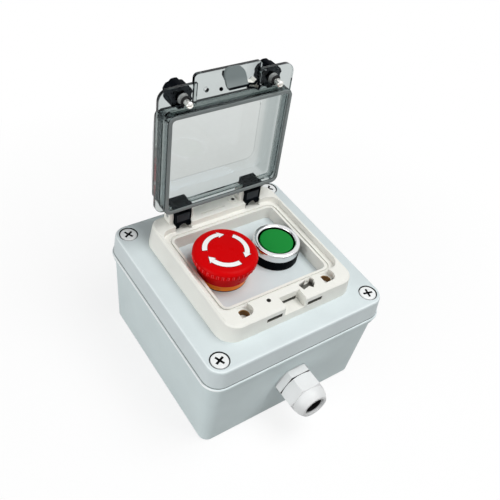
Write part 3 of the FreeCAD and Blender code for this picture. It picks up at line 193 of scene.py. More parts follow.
def rubber(name, colour):
    """A rubber: dull, mottled and coarser in grain than the plastics."""
    return moulded_plastic(name, colour, 0.75, gloss=0.15, grain=900, depth=0.00006, mottle=0.12, handling=0.08)


black_rubber = rubber("black_rubber", (0.012, 0.012, 0.013))
finish_in(black_rubber, "lid_gasket")


# Lid: a shallow cap of grey plastic like the base's, moulded with two holes for the buttons and four round screw
# wells in its corners, painted dark inside as shade. Its round edges carry a painted highlight, and four screws
# pull it down.

def distance_from(tree, place, middle, across):
    """How far a point lies from an axis through middle. Across is 1 on the two axes that count."""
    offset = tree.nodes.new("ShaderNodeVectorMath")
    offset.operation = "MULTIPLY_ADD"
    offset.inputs[1].default_value = across
    offset.inputs[2].default_value = [-part * share for part, share in zip(middle, across)]
    tree.links.new(place, offset.inputs[0])
    length = tree.nodes.new("ShaderNodeVectorMath")
    length.operation = "LENGTH"
    tree.links.new(offset.outputs["Vector"], length.inputs[0])
    return length.outputs["Value"]


def axes_of(tree, vector):
    """The X, Y and Z parts of a vector."""
    parts = tree.nodes.new("ShaderNodeSeparateXYZ")
    tree.links.new(vector, parts.inputs["Vector"])
    return parts.outputs


def facing(tree, axis):
    """How far a surface faces along an axis, from -1 to 1."""
    return axes_of(tree, tree.nodes.new("ShaderNodeNewGeometry").outputs["Normal"])[axis]


def band(tree, value, start, full, fade, end):
    """1 where a value lies between full and fade, passing into 0 at start and end."""
    return calculate(tree, "MULTIPLY", spread(tree, value, 0, 1, start, full), spread(tree, value, 1, 0, fade, end))


def mixed_colour(tree, share, first, second):
    """One colour passing into another. Each is a source or three plain numbers."""
    mix = tree.nodes.new("ShaderNodeMix")
    mix.data_type = "RGBA"
    feed(tree, mix.inputs["Factor"], share)
    for socket, colour in (("A", first), ("B", second)):
        feed(tree, mix.inputs[socket], (*colour, 1) if isinstance(colour, tuple) else colour)
    return mix.outputs["Result"]


def two_tone(material, share, first, second):
    """Let a moulded finish pass from one colour into another."""
    tree = material.node_tree
    tree.links.new(mixed_colour(tree, share, first, second), tree.nodes["Group"].inputs["Color"])


lid_colour = (0.634, 0.702, 0.714)
lid_highlight_colour = (0.80, 0.865, 0.875)
well_shade_colour = (0.03, 0.034, 0.035)
screw_head_radius = 0.0052
well_radius = 0.0058
mask_edge = 0.00003
screw_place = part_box("lid_screws")[1].x - screw_head_radius
lid_grey = moulded_plastic("lid_grey", lid_colour, 0.48, gloss=0.25)
lid_tree = lid_grey.node_tree
lid_quarter = lid_tree.nodes.new("ShaderNodeVectorMath")
lid_quarter.operation = "ABSOLUTE"
lid_tree.links.new(place_on(lid_tree), lid_quarter.inputs[0])
from_screw = distance_from(lid_tree, lid_quarter.outputs["Vector"], (screw_place, screw_place, 0), (1, 1, 0))
# Painted shade: the screw wells are coloured almost black.
in_well = spread(lid_tree, from_screw, 1, 0, well_radius, well_radius + mask_edge)
# Painted highlight: the round edges, half turned up, are coloured paler than the lid.
highlight_band = band(lid_tree, facing(lid_tree, "Z"), 0.5, 0.72, 0.76, 0.95)
lid_with_highlight = mixed_colour(lid_tree, highlight_band, lid_colour, lid_highlight_colour)
two_tone(lid_grey, in_well, lid_with_highlight, well_shade_colour)
finish_in(lid_grey, "enclosure_lid")


# Rim bead and seam: the base's rim ends in a rounded bead that stands a little proud of the lid, and above it a dark
# grey rubber strip stands for the shade in the seam. The bead is moulded with the base and painted paler than it,
# most on the left, as a painted highlight.

def select_faces(piece, wanted):
    """In edit mode, select only the faces whose middle and normal are wanted."""
    bpy.ops.mesh.select_mode(type="FACE")
    bpy.ops.mesh.select_all(action="DESELECT")
    mesh = bmesh.from_edit_mesh(piece.data)
    for face in mesh.faces:
        face.select_set(wanted(face.calc_center_median(), face.normal))
    bmesh.update_edit_mesh(piece.data)


def select_edges(piece, wanted):
    """In edit mode, select only the edges that are wanted."""
    bpy.ops.mesh.select_mode(type="EDGE")
    bpy.ops.mesh.select_all(action="DESELECT")
    mesh = bmesh.from_edit_mesh(piece.data)
    for edge in mesh.edges:
        edge.select_set(wanted(edge))
    bmesh.update_edit_mesh(piece.data)


def on_outer_edge(edge):
    """Whether an edge lies between a level face and one that looks outwards."""
    level = [face for face in edge.link_faces if abs(face.normal.z) > 0.9]
    upright = [face for face in edge.link_faces if abs(face.normal.z) < 0.1]
    return len(level) == 1 and len(upright) == 1 and upright[0].normal.dot(upright[0].calc_center_median()) > 0


def open_middle(piece, border):
    """In edit mode, make a plate a ring of a given width, between its upper and its lower face."""
    select_faces(piece, lambda middle, normal: abs(normal.z) > 0.9)
    bpy.ops.mesh.inset(thickness=border)
    bpy.ops.mesh.bridge_edge_loops()


def face_outwards():
    """In edit mode, turn every face of a closed piece outwards."""
    bpy.ops.mesh.select_all(action="SELECT")
    bpy.ops.mesh.normals_make_consistent(inside=False)


def smooth_to(degrees):
    """Shade the active piece smoothly, with edges sharper than this left crisp."""
    bpy.ops.object.shade_smooth_by_angle(angle=math.radians(degrees))


def rim_strip(name, reach, corner, low, high, rounding):
    """A strip round the rim: a plate with round corners, opened in the middle, with its outer edges rounded."""
    bpy.ops.mesh.primitive_cube_add(size=2 * reach, location=(0, 0, (low + high) / 2))
    strip = bpy.context.object
    strip.name = name
    strip.scale = (1, 1, (high - low) / (2 * reach))
    bpy.ops.object.transform_apply(location=True, scale=True)
    bpy.ops.object.mode_set(mode="EDIT")
    select_edges(strip, lambda edge: abs(edge.verts[0].co.z - edge.verts[1].co.z) > (high - low) / 2)
    bpy.ops.mesh.bevel(offset=corner, segments=12, affect="EDGES")
    open_middle(strip, strip_width)
    select_edges(strip, on_outer_edge)
    bpy.ops.mesh.bevel(offset=rounding, segments=3, affect="EDGES")
    face_outwards()
    bpy.ops.object.mode_set(mode="OBJECT")
    smooth_to(35)
    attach(strip, "enclosure")
    return strip


rim_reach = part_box("enclosure_base")[1].x
seam_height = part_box("enclosure_base")[1].z
rim_corner = 0.010
strip_width = 0.0015
bead_proud = 0.0009
bead_low = seam_height - 0.0019
bead_high = seam_height - 0.0001
bead_rounding = 0.00085
bead_colour = (0.66, 0.74, 0.75)
bead_highlight_colour = (0.93, 0.965, 0.97)
rim_bead = rim_strip("rim_bead", rim_reach + bead_proud, rim_corner + bead_proud, bead_low, bead_high, bead_rounding)
bead_grey = moulded_plastic("bead_grey", bead_colour, 0.4, gloss=0.3)
# Painted highlight: the faces of the bead that look left are coloured much paler.
facing_left = spread(bead_grey.node_tree, facing(bead_grey.node_tree, "X"), 1, 0, -0.6, -0.2)
two_tone(bead_grey, facing_left, bead_colour, bead_highlight_colour)
dress(rim_bead, bead_grey)
seam_proud = 0.00004
seam_high = seam_height + 0.0005
seam_rounding = 0.00002
# Painted shade: a dark grey strip fills the seam where shade falls between lid and bead.
seam_line = rim_strip("seam_line", rim_reach + seam_proud, rim_corner, bead_high, seam_high, seam_rounding)
seam_shade_grey = rubber("seam_shade_grey", (0.22, 0.25, 0.25))
dress(seam_line, seam_shade_grey)


# Lid screws: light grey nylon screws whose flat heads have a deep cross recess, painted dark inside as shade.
# They sit in the wells of the lid and bite into the corners of the base, each stopped at its own angle.

def pick(piece):
    """Select one piece alone and make it the active one."""
    bpy.ops.object.select_all(action="DESELECT")
    piece.select_set(True)
    bpy.context.view_layer.objects.active = piece


def copy_of(node, name, *materials):
    """A separate copy of a CAD piece with its triangles merged into one skin, ready to be shaped."""
    piece = bpy.data.objects.new(name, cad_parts[node].data.copy())
    bpy.context.scene.collection.objects.link(piece)
    pick(piece)
    bpy.ops.object.mode_set(mode="EDIT")
    bpy.ops.mesh.select_all(action="SELECT")
    bpy.ops.mesh.remove_doubles(threshold=0.000001)
    bpy.ops.object.mode_set(mode="OBJECT")
    bpy.ops.mesh.customdata_custom_splitnormals_clear()
    dress(piece, *materials)
    return piece


def cut_out(piece, cutter):
    """Take the cutter's shape out of a piece. The cut faces keep the cutter's finish."""
    pick(piece)
    cut = piece.modifiers.new("cut", "BOOLEAN")
    cut.operation = "DIFFERENCE"
    cut.solver = "EXACT"
    cut.material_mode = "TRANSFER"
    cut.object = cutter
    bpy.ops.object.modifier_apply(modifier=cut.name)
    bpy.data.objects.remove(cutter)


def join(pieces, name):
    """Join pieces into one."""
    bpy.ops.object.select_all(action="DESELECT")
    for piece in pieces:
        piece.select_set(True)
    bpy.context.view_layer.objects.active = pieces[0]
    bpy.ops.object.join()
    pieces[0].name = name
    return pieces[0]


def place_copy(piece, turn_degrees, place):
    """A copy of a piece with its own mesh, turned about the vertical and moved, with its place in its mesh."""
    copy = bpy.data.objects.new(piece.name, piece.data.copy())
    bpy.context.scene.collection.objects.link(copy)
    copy.rotation_euler = (0, 0, math.radians(turn_degrees))
    copy.location = place
    pick(copy)
    bpy.ops.object.transform_apply(location=True, rotation=True, scale=True)
    return copy


screw_grey = moulded_plastic("screw_grey", (0.80, 0.82, 0.82), 0.36, gloss=0.35, grain=1500, depth=0.00001)
recess_shade = moulded_plastic("recess_shade", (0.012, 0.013, 0.014), 0.7, gloss=0.1, grain=900, depth=0.00003)
cross_width = 0.0015
cross_reach = 0.0034
cross_depth = 0.0020
cross_taper = 0.8
screw_corners = ((-1, -1, 24), (1, -1, -13), (-1, 1, 28), (1, 1, 48))
bpy.ops.mesh.primitive_cube_add(size=cross_width)
cross = bpy.context.object
cross.scale = (1, 1, 2 * cross_depth / cross_width)
bpy.ops.object.transform_apply(scale=True)
bpy.ops.object.mode_set(mode="EDIT")
for way in (Vector((1, 0, 0)), Vector((0, 1, 0)), Vector((-1, 0, 0)), Vector((0, -1, 0))):
    select_faces(cross, lambda middle, normal: normal.dot(way) > 0.9 and middle.dot(way) < cross_width
                 and abs(middle.cross(way).z) < 0.1 * cross_width)
    bpy.ops.mesh.extrude_region_move(TRANSFORM_OT_translate={"value": way * (cross_reach - cross_width / 2)})
select_faces(cross, lambda middle, normal: normal.z < -0.9)
bpy.ops.transform.resize(value=(cross_taper, cross_taper, 1), center_override=(0, 0, -cross_depth))
bpy.ops.object.mode_set(mode="OBJECT")
# Painted shade: the cut faces of the recess take this near-black finish.
dress(cross, recess_shade)
cross_screws = copy_of("lid_screws", "cross_screws", screw_grey)
screw_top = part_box("lid_screws")[1].z
recesses = [place_copy(cross, angle, (x * screw_place, y * screw_place, screw_top)) for x, y, angle in screw_corners]
bpy.data.objects.remove(cross)
cut_out(cross_screws, join(recesses, "recesses"))
smooth_to(35)
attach(cross_screws, "enclosure")
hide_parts("lid_screws")


# Emergency stop, mount: an orange collar on the lid, and a black barrel that goes through the lid and is held
# from inside by a nut. A contact block is clipped below it.

orange_plastic = moulded_plastic("orange_plastic", (0.98, 0.25, 0.014), 0.3, gloss=0.25, grain=1600, depth=0.000008)
# Its edges are lightened strongly: partly wear, partly a painted highlight.
black_plastic = moulded_plastic("black_plastic", (0.002, 0.003, 0.0045), 0.42, gloss=0.012, grain=1800,
                                depth=0.000012, edge_rub=1.2)
grey_plastic = moulded_plastic("grey_plastic", (0.112, 0.137, 0.138), 0.42, gloss=0.3, grain=1800, depth=0.000014)
finish_in(orange_plastic, "estop_collar")
finish_in(black_plastic, "estop_stem", "estop_barrel", "estop_nut")
finish_in(black_rubber, "estop_gasket")
finish_in(grey_plastic, "estop_contact_block")


# Emergency stop, head: a red moulded mushroom whose rim has forty shallow grip flutes, painted paler red as a
# painted highlight. It is pressed to stop and turned clockwise to let go.

red_plastic = moulded_plastic("red_plastic", (0.58, 0.0018, 0.003), 0.3, gloss=0.03, grain=1600, depth=0.000008)
# Painted highlight: the cut faces of the flutes take this paler, glossier red.
flute_highlight_red = moulded_plastic("flute_highlight_red", (0.80, 0.05, 0.06), 0.3, gloss=0.3, grain=1600, depth=0.000008)
head_low, head_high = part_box("estop_head")
head_middle = (head_low + head_high) / 2
head_radius = (head_high.x - head_low.x) / 2
flute_count = 40
flute_radius = 0.0008
flute_stand_off = 0.0003
flute_low = head_high.z - 0.0068
flute_high = head_high.z - 0.0036
bpy.ops.mesh.primitive_cylinder_add(vertices=12, radius=flute_radius, depth=flute_high - flute_low,
                                    location=(head_middle.x + head_radius + flute_stand_off, head_middle.y,
                                              (flute_low + flute_high) / 2))
flutes = bpy.context.object
bpy.ops.object.transform_apply(location=True)
bpy.ops.object.mode_set(mode="EDIT")
bpy.ops.mesh.select_all(action="SELECT")
bpy.ops.mesh.spin(steps=flute_count - 1, dupli=True, angle=math.tau * (flute_count - 1) / flute_count,
                  center=(head_middle.x, head_middle.y, 0), axis=(0, 0, 1))
face_outwards()
bpy.ops.object.mode_set(mode="OBJECT")
dress(flutes, flute_highlight_red)
mushroom_head = copy_of("estop_head", "mushroom_head", red_plastic)
cut_out(mushroom_head, flutes)
smooth_to(32)
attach(mushroom_head, "estop_head")
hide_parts("estop_head")


# Emergency stop, arrows: three white arrows pressed into the crown, which show the way the head is turned. They
# are one stamping each, sunk to the level of the red plastic, with a fine line of painted shade round them.

def select_points(piece, wanted):
    """In edit mode, select only the points whose place is wanted."""
    bpy.ops.mesh.select_mode(type="VERT")
    bpy.ops.mesh.select_all(action="DESELECT")
    mesh = bmesh.from_edit_mesh(piece.data)
    for point in mesh.verts:
        point.select_set(wanted(point.co))
    bmesh.update_edit_mesh(piece.data)


white_ink = moulded_plastic("white_ink", (0.86, 0.85, 0.84), 0.4, grain=1400, depth=0.000006)
outline_shade_red = moulded_plastic("outline_shade_red", (0.17, 0.001, 0.008), 0.5, gloss=0.03, grain=1600, depth=0.000008)
arrow_middle = 0.0124
arrow_line = 0.00025
arrow_stroke = 0.0029 + 2 * arrow_line
arrow_head = 0.0049 + 2.4 * arrow_line
arrow_tail_degrees = 160
arrow_sweep = 79
arrow_tip_degrees = 20
arrow_start = head_high.z + 0.001
arrow_proud = 0.00006
arrow_thickness = 0.0003
bpy.ops.mesh.primitive_plane_add(size=arrow_stroke, location=(arrow_middle, arrow_stroke / 2, arrow_start))
arrow = bpy.context.object
arrow.name = "arrow"
bpy.ops.object.transform_apply(location=True)
bpy.ops.object.mode_set(mode="EDIT")
select_points(arrow, lambda place: place.y > arrow_stroke / 2)
bpy.ops.mesh.delete(type="VERT")
bpy.ops.mesh.select_all(action="SELECT")
bpy.ops.mesh.spin(steps=26, angle=math.radians(arrow_sweep), center=(0, 0, 0), axis=(0, 0, 1))
shaft_end = Matrix.Rotation(math.radians(-arrow_sweep), 3, "Z") @ Vector((arrow_middle, 0, 0))
arrow_tip = Matrix.Rotation(math.radians(-arrow_sweep - arrow_tip_degrees), 3, "Z") @ Vector((arrow_middle, 0, 0))
barb_reach = (arrow_head - arrow_stroke) / 2
bpy.ops.mesh.extrude_region_move(TRANSFORM_OT_translate={"value": (0, 0, 0)})
arrow_mesh = bmesh.from_edit_mesh(arrow.data)
barbs = [corner.index for corner in arrow_mesh.verts if corner.select]
for barb in barbs:
    arrow_mesh = bmesh.from_edit_mesh(arrow.data)
    arrow_mesh.verts.ensure_lookup_table()
    bpy.ops.mesh.select_all(action="DESELECT")
    arrow_mesh.verts[barb].select_set(True)
    outwards = 1 if arrow_mesh.verts[barb].co.xy.length > arrow_middle else -1
    bmesh.update_edit_mesh(arrow.data)
    bpy.ops.transform.translate(value=shaft_end.normalized() * outwards * barb_reach)
arrow_mesh = bmesh.from_edit_mesh(arrow.data)
arrow_mesh.verts.ensure_lookup_table()
for barb in barbs:
    arrow_mesh.verts[barb].select_set(True)
arrow_mesh.select_flush(True)
bmesh.update_edit_mesh(arrow.data)
bpy.ops.mesh.extrude_region_move(TRANSFORM_OT_translate={"value": arrow_tip - shaft_end})
bpy.ops.mesh.merge(type="CENTER")
bpy.ops.mesh.select_all(action="SELECT")
bpy.ops.mesh.remove_doubles(threshold=0.000001)
arrow.data.materials.append(white_ink)
arrow.data.materials.append(outline_shade_red)
bpy.ops.mesh.select_mode(type="FACE")
bpy.ops.mesh.select_all(action="SELECT")
# Painted shade: a fine border of dark red round each arrow.
bpy.ops.mesh.inset(thickness=arrow_line)
bpy.ops.mesh.select_all(action="INVERT")
arrow.active_material_index = 1
bpy.ops.object.material_slot_assign()
bpy.ops.mesh.select_all(action="SELECT")
bpy.ops.mesh.subdivide(number_cuts=3)
bpy.ops.mesh.normals_make_consistent(inside=False)
bpy.ops.object.mode_set(mode="OBJECT")
arrows = [place_copy(arrow, arrow_tail_degrees - 120 * number, (head_middle.x, head_middle.y, 0))
          for number in range(3)]
bpy.data.objects.remove(arrow)
release_arrows = join(arrows, "release_arrows")
pick(release_arrows)
wrap = release_arrows.modifiers.new("wrap", "SHRINKWRAP")
wrap.wrap_method = "PROJECT"
wrap.use_project_z = True
wrap.use_negative_direction = True
wrap.use_positive_direction = False
wrap.target = mushroom_head
wrap.offset = arrow_proud
bpy.ops.object.modifier_apply(modifier=wrap.name)
thicken = release_arrows.modifiers.new("thicken", "SOLIDIFY")
thicken.thickness = arrow_thickness
thicken.offset = 0
bpy.ops.object.modifier_apply(modifier=thicken.name)
bpy.ops.object.mode_set(mode="EDIT")
face_outwards()
bpy.ops.object.mode_set(mode="OBJECT")
smooth_to(40)
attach(release_arrows, "estop_head")


# Bright metal inside: plated steel terminal screws, hinge pins and the frame's screws, each with fine lines and
# faint stains. The terminal screws hold the wires, and the frame's screws go up through the lid.

def plated(name, colour, roughness, handling=0.05):
    """A plated metal with a fine grain and small, crisp edges."""
    material = moulded_plastic(name, colour, roughness, gloss=0.5, grain=1200, depth=0.000004, mottle=0.06,
                               handling=handling, edge_radius=0.0002)
    material.node_tree.nodes["Principled BSDF"].inputs["Metallic"].default_value = 1
    return material


steel = plated("steel", (0.55, 0.55, 0.55), 0.32)
finish_in(steel, "estop_terminal_screws", "start_terminal_screws", "hinge_pins", "frame_screws")


# Springs: two coils of bright steel wire, one below each button. They stand on the floor of the barrel and move
# with their button.

def button_spring(node, name, body):
    """A spring copied from its CAD piece, which rides with its button."""
    spring = copy_of(node, name, steel)
    smooth_to(40)
    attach(spring, body)
    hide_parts(node)
    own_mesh(spring)


button_spring("estop_spring", "stop_coil", "estop_plunger")
button_spring("start_spring", "start_coil", "start_button")


# Start button: a green cap in a chromed bezel on a black collar. The bezel is screwed on the barrel, its bore is
# painted dark as shade, and the cap slides in it on a spring.

green_plastic = moulded_plastic("green_plastic", (0.006, 0.235, 0.034), 0.34, gloss=0.1, grain=1600, depth=0.000008)
finish_in(green_plastic, "start_cap")
chrome_colour = (0.78, 0.79, 0.80)
bore_shade_colour = (0.02, 0.022, 0.022)
bore_shade_to = 0.0116
bore_bright_from = 0.0117
bezel_low, bezel_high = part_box("start_bezel")
chrome = plated("chrome", chrome_colour, 0.13, handling=0.03)
chrome_tree = chrome.node_tree
from_cap = distance_from(chrome_tree, place_on(chrome_tree), (bezel_low + bezel_high) / 2, (1, 1, 0))
# Painted shade: the bore of the bezel is coloured almost black.
two_tone(chrome, spread(chrome_tree, from_cap, 1, 0, bore_shade_to, bore_bright_from), chrome_colour, bore_shade_colour)
finish_in(chrome, "start_bezel")
finish_in(black_plastic, "start_collar", "start_plunger", "start_barrel", "start_nut")
finish_in(black_rubber, "start_gasket")
finish_in(grey_plastic, "start_contact_block")


# Window frame: one warm white moulding that is screwed to the lid from below, with a rubber seal under it and
# two bushes of dull, darkened brass in its latch bar. Its slots, lock hole and small holes are painted dark as
# shade.

frame_colour = (0.81, 0.81, 0.76)
recess_shade_colour = (0.12, 0.12, 0.105)
small_holes = (((0.0138, 0.0415, 0), 0.0012), ((-0.0135, -0.0388, 0), 0.0013))
frame_white = moulded_plastic("frame_white", frame_colour, 0.4, gloss=0.25, grain=2000, depth=0.00001)
frame_tree = frame_white.node_tree
frame_place = place_on(frame_tree)
frame_axes = axes_of(frame_tree, frame_place)
either_side = calculate(frame_tree, "ABSOLUTE", frame_axes["X"], 0)


def recess(across, low, high):
    """The walls of one recess of the frame, by the corners of the space that it takes up."""
    mask = 1
    for place, start, end in zip((across, frame_axes["Y"], frame_axes["Z"]), low, high):
        node = frame_tree.nodes.new("ShaderNodeMath")
        node.operation = "COMPARE"
        feed(frame_tree, node.inputs[0], place)
        node.inputs[1].default_value = (start + end) / 2
        node.inputs[2].default_value = (end - start) / 2
        mask = calculate(frame_tree, "MULTIPLY", node.outputs["Value"], mask)
    return mask


# Painted shade: the walls of the slots, the lock hole and the small holes are coloured dark.
tool_slots = recess(either_side, (0.0089, -0.0475, 0.0814), (0.0196, -0.0437, 0.0844))
catch_slot = recess(either_side, (-0.0001, -0.03995, 0.0812), (0.0061, -0.0375, 0.0839))
lock_hole = recess(frame_axes["X"], (0.0085, -0.0435, 0.0834), (0.0210, -0.0352, 0.0876))
paler_upwards = spread(frame_tree, frame_axes["Z"], 1, 0.4, 0.0845, 0.0876)
lock_shade = calculate(frame_tree, "MULTIPLY", lock_hole, paler_upwards)
painted_shade = calculate(frame_tree, "MAXIMUM", calculate(frame_tree, "MAXIMUM", tool_slots, catch_slot), lock_shade)
for middle, hole_radius in small_holes:
    from_hole = distance_from(frame_tree, frame_place, middle, (1, 1, 0))
    in_hole = spread(frame_tree, from_hole, 1, 0, hole_radius, hole_radius + mask_edge)
    painted_shade = calculate(frame_tree, "MAXIMUM", painted_shade, in_hole)
two_tone(frame_white, painted_shade, frame_colour, recess_shade_colour)
finish_in(frame_white, "window_frame")
brass = plated("brass", (0.20, 0.11, 0.045), 0.45)
finish_in(brass, "frame_inserts")
finish_in(black_rubber, "frame_gasket")


# Cover: a dome moulded in smoked clear plastic with polished faces. Its walls and collar are tinted more than its
# pane, and its edges most, and its left wall is painted darker than its right as shade. A grey rubber lip below the
# collar seals it on the frame.

open_degrees = 92.5
closed_up = Vector((0, math.sin(math.radians(open_degrees)), math.cos(math.radians(open_degrees))))
hinge_axis = Vector((0, 0.0419, 0.0935))
collar_top = (-0.0030, -0.0027)
wall_foot = (-0.0005, 0.001)
pane_foot = (0.0085, 0.0115)
pane_far_up = (0.105, 0.150)
grip_foot = (0.1705, 0.1725)
grip_step = (0.011, 0.021, 0.0215, 0.0218)
side_start = 0.034
side_full = 0.037
smoked_clear = bpy.data.materials.new("smoked_clear")
smoked_clear.use_nodes = True
smoked_tree = smoked_clear.node_tree
smoked_shader = smoked_tree.nodes["Principled BSDF"]
smoked_shader.inputs["Transmission Weight"].default_value = 1
smoked_shader.inputs["IOR"].default_value = 1.49
smoked_shader.inputs["Specular Tint"].default_value = (0.11, 0.15, 0.19, 1)
smoked_place = place_on(smoked_tree)
smoked_axes = axes_of(smoked_tree, smoked_place)
smoked_height = smoked_tree.nodes.new("ShaderNodeVectorMath")
smoked_height.operation = "DOT_PRODUCT"
smoked_height.inputs[1].default_value = closed_up
smoked_tree.links.new(smoked_place, smoked_height.inputs[0])
above_hinge = calculate(smoked_tree, "SUBTRACT", smoked_height.outputs["Value"], closed_up.dot(hinge_axis))
pane_share = spread(smoked_tree, above_hinge, 0, 1, *pane_foot)
wall_share = calculate(smoked_tree, "SUBTRACT", spread(smoked_tree, above_hinge, 0, 1, *wall_foot), pane_share)
from_centre = calculate(smoked_tree, "ABSOLUTE", smoked_axes["X"], 0)
at_sides = spread(smoked_tree, from_centre, 0, 1, side_start, side_full)
side_share = calculate(smoked_tree, "MULTIPLY", wall_share, at_sides)
collar_share = calculate(smoked_tree, "MULTIPLY", spread(smoked_tree, above_hinge, 1, 0, *collar_top), at_sides)
right_share = spread(smoked_tree, smoked_axes["X"], 0, 1, -side_start, side_start)
far_up = spread(smoked_tree, smoked_axes["Z"], 0, 1, *pane_far_up)
on_grip = spread(smoked_tree, smoked_axes["Z"], 0, 1, *grip_foot)
grip_shade = calculate(smoked_tree, "MULTIPLY", on_grip, band(smoked_tree, smoked_axes["X"], *grip_step))
pane_tint = mixed_colour(smoked_tree, far_up, (0.93, 0.94, 0.93), (0.995, 1, 0.993))
flange_tint = mixed_colour(smoked_tree, grip_shade, (0.90, 0.925, 0.925), (0.62, 0.65, 0.66))
flange_and_pane = mixed_colour(smoked_tree, pane_share, flange_tint, pane_tint)
# Painted shade: the left wall is coloured much darker than the right.
side_tint_and_shade = mixed_colour(smoked_tree, right_share, (0.17, 0.19, 0.20), (0.68, 0.72, 0.72))
above_collar = mixed_colour(smoked_tree, side_share, flange_and_pane, side_tint_and_shade)
smoked_tint = mixed_colour(smoked_tree, collar_share, above_collar, (0.46, 0.50, 0.51))
smoked_skin = smoked_tree.nodes.new("ShaderNodeGroup")
smoked_skin.node_tree = moulded_skin
for socket, value in (("Roughness", 0.04), ("Grain", 300), ("Mottle", 0.02), ("Handling", 0.02),
                      ("Edge Radius", 0.0008), ("Edge Rub", 0)):
    smoked_skin.inputs[socket].default_value = value
smoked_tree.links.new(smoked_tint, smoked_skin.inputs["Color"])
smoked_edge = edge_mask(smoked_tree, smoked_skin.outputs["Normal"])
edged_tint = mixed_colour(smoked_tree, smoked_edge, smoked_skin.outputs["Color"], (0.16, 0.18, 0.19))
smoked_tree.links.new(edged_tint, smoked_shader.inputs["Base Color"])
smoked_tree.links.new(smoked_skin.outputs["Roughness"], smoked_shader.inputs["Roughness"])
smoke = smoked_tree.nodes.new("ShaderNodeVolumeAbsorption")
smoke.inputs["Color"].default_value = (0.5, 0.55, 0.54, 1)
smoke.inputs["Density"].default_value = 350
smoked_tree.links.new(smoke.outputs["Volume"], smoked_tree.nodes["Material Output"].inputs["Volume"])
finish_in(smoked_clear, "cover_shell")
seal_grey = rubber("seal_grey", (0.19, 0.212, 0.212))
finish_in(seal_grey, "cover_seal")


# Hinge arms: two black moulded arms with a clip that grips the cover's rear edge with a hair of play, and an eye
# that turns on the hinge pin. A shallow panel is sunk in the face above the foot of each, painted grey as painted
# light.

closed_rear = Vector((0, closed_up.z, -closed_up.y))
panel_lit_black = moulded_plastic("panel_lit_black", (0.026, 0.031, 0.037), 0.36, gloss=0.15, grain=1800, depth=0.000012)
arm_play = 0.00004
panel_front = 0.0028
panel_back = -0.0044
panel_highest = -0.0055
panel_border = 0.0008
panel_depth = 0.0005


def on_cover(place):
    """A place on the cover by how far it lies in front of the hinge and above it, with the cover closed."""
    from_hinge = place - hinge_axis
    return -from_hinge.dot(closed_rear), from_hinge.dot(closed_up)


def arm_on_cover(node, name):
    """A hinge arm drawn in by a hair all round, so that it stands clear of the faces it grips."""
    arm = copy_of(node, name, black_plastic, panel_lit_black)
    play = arm.modifiers.new("play", "DISPLACE")
    play.mid_level = 0
    play.strength = -arm_play
    bpy.ops.object.modifier_apply(modifier=play.name)
    bpy.ops.object.mode_set(mode="EDIT")
    for panel_end in (panel_front, panel_back):
        bpy.ops.mesh.select_all(action="SELECT")
        bpy.ops.mesh.bisect(plane_co=hinge_axis - closed_rear * panel_end, plane_no=closed_rear)
    select_faces(arm, lambda middle, normal: normal.dot(closed_up) < -0.99 and on_cover(middle)[1] < panel_highest
                 and panel_back < on_cover(middle)[0] < panel_front)
    bpy.ops.mesh.inset(thickness=panel_border, depth=-panel_depth)
    # Painted light: the sunk panel takes a grey finish, as if lit.
    arm.active_material_index = 1
    bpy.ops.object.material_slot_assign()
    bpy.ops.object.mode_set(mode="OBJECT")
    smooth_to(32)
    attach(arm, "cover")
    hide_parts(node)


arm_on_cover("hinge_arm_left", "clip_arm_left")
arm_on_cover("hinge_arm_right", "clip_arm_right")


# Latch: a grey tongue whose web behind it and lip are painted black as shade. It is pressed into the underside
# of the grip, and the lip hooks on the frame's catch.

hook_front = 0.0843
hook_top = -0.0091
hook_taper = 0.78
hook_middle = (-0.004, 0, 0)
web_foot = -0.0012
web_taper = 0.72
lip_height = 0.0015
lip_depth = 0.0010
lip_taper = 0.55
hair = 0.00005
tongue_out = -(closed_rear * 0.5525 + closed_up * 0.8335)
tongue_back = hinge_axis - closed_rear * hook_front + closed_up * hook_top
latch_tongue = copy_of("cover_latch", "latch_tongue", grey_plastic, black_plastic)
latch_tongue.active_material_index = 1
bpy.ops.object.mode_set(mode="EDIT")
for cut_place, cut_way in ((tongue_back, tongue_out), (tongue_back - closed_rear * lip_height, closed_rear)):
    bpy.ops.mesh.select_all(action="SELECT")
    bpy.ops.mesh.bisect(plane_co=cut_place, plane_no=cut_way)
select_points(latch_tongue, lambda place: on_cover(place)[0] < hook_front + 2 * hair)
bpy.ops.transform.resize(value=(hook_taper, 1, 1), center_override=hook_middle)
select_points(latch_tongue, lambda place: on_cover(place)[1] > web_foot)
bpy.ops.transform.resize(value=(web_taper, 1, 1), center_override=(0, 0, 0))
# Painted shade: the web behind the tongue takes the black finish, and so does the lip below.
select_faces(latch_tongue, lambda middle, normal: (middle - tongue_back).dot(tongue_out) < -hair)
bpy.ops.object.material_slot_assign()
select_faces(latch_tongue, lambda middle, normal: normal.dot(tongue_out) > 0.95
             and on_cover(middle)[0] < hook_front + lip_height)
bpy.ops.mesh.extrude_region_move(TRANSFORM_OT_translate={"value": tongue_out * lip_depth})
bpy.ops.transform.resize(value=(1, 1, lip_taper), center_override=tongue_back)
bpy.ops.object.material_slot_assign()
select_faces(latch_tongue, lambda middle, normal: normal.dot(closed_rear) > 0.5
             and on_cover(middle)[0] < hook_front + lip_height)
bpy.ops.object.material_slot_assign()
bpy.ops.object.mode_set(mode="OBJECT")
smooth_to(32)
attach(latch_tongue, "cover")
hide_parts("cover_latch")


# Lock sleeve and rivet: a black three-armed sleeve beside the tongue, its root painted white as painted light. It
# is pressed into the underside of the grip, like the small black rivet on the tongue's other side.

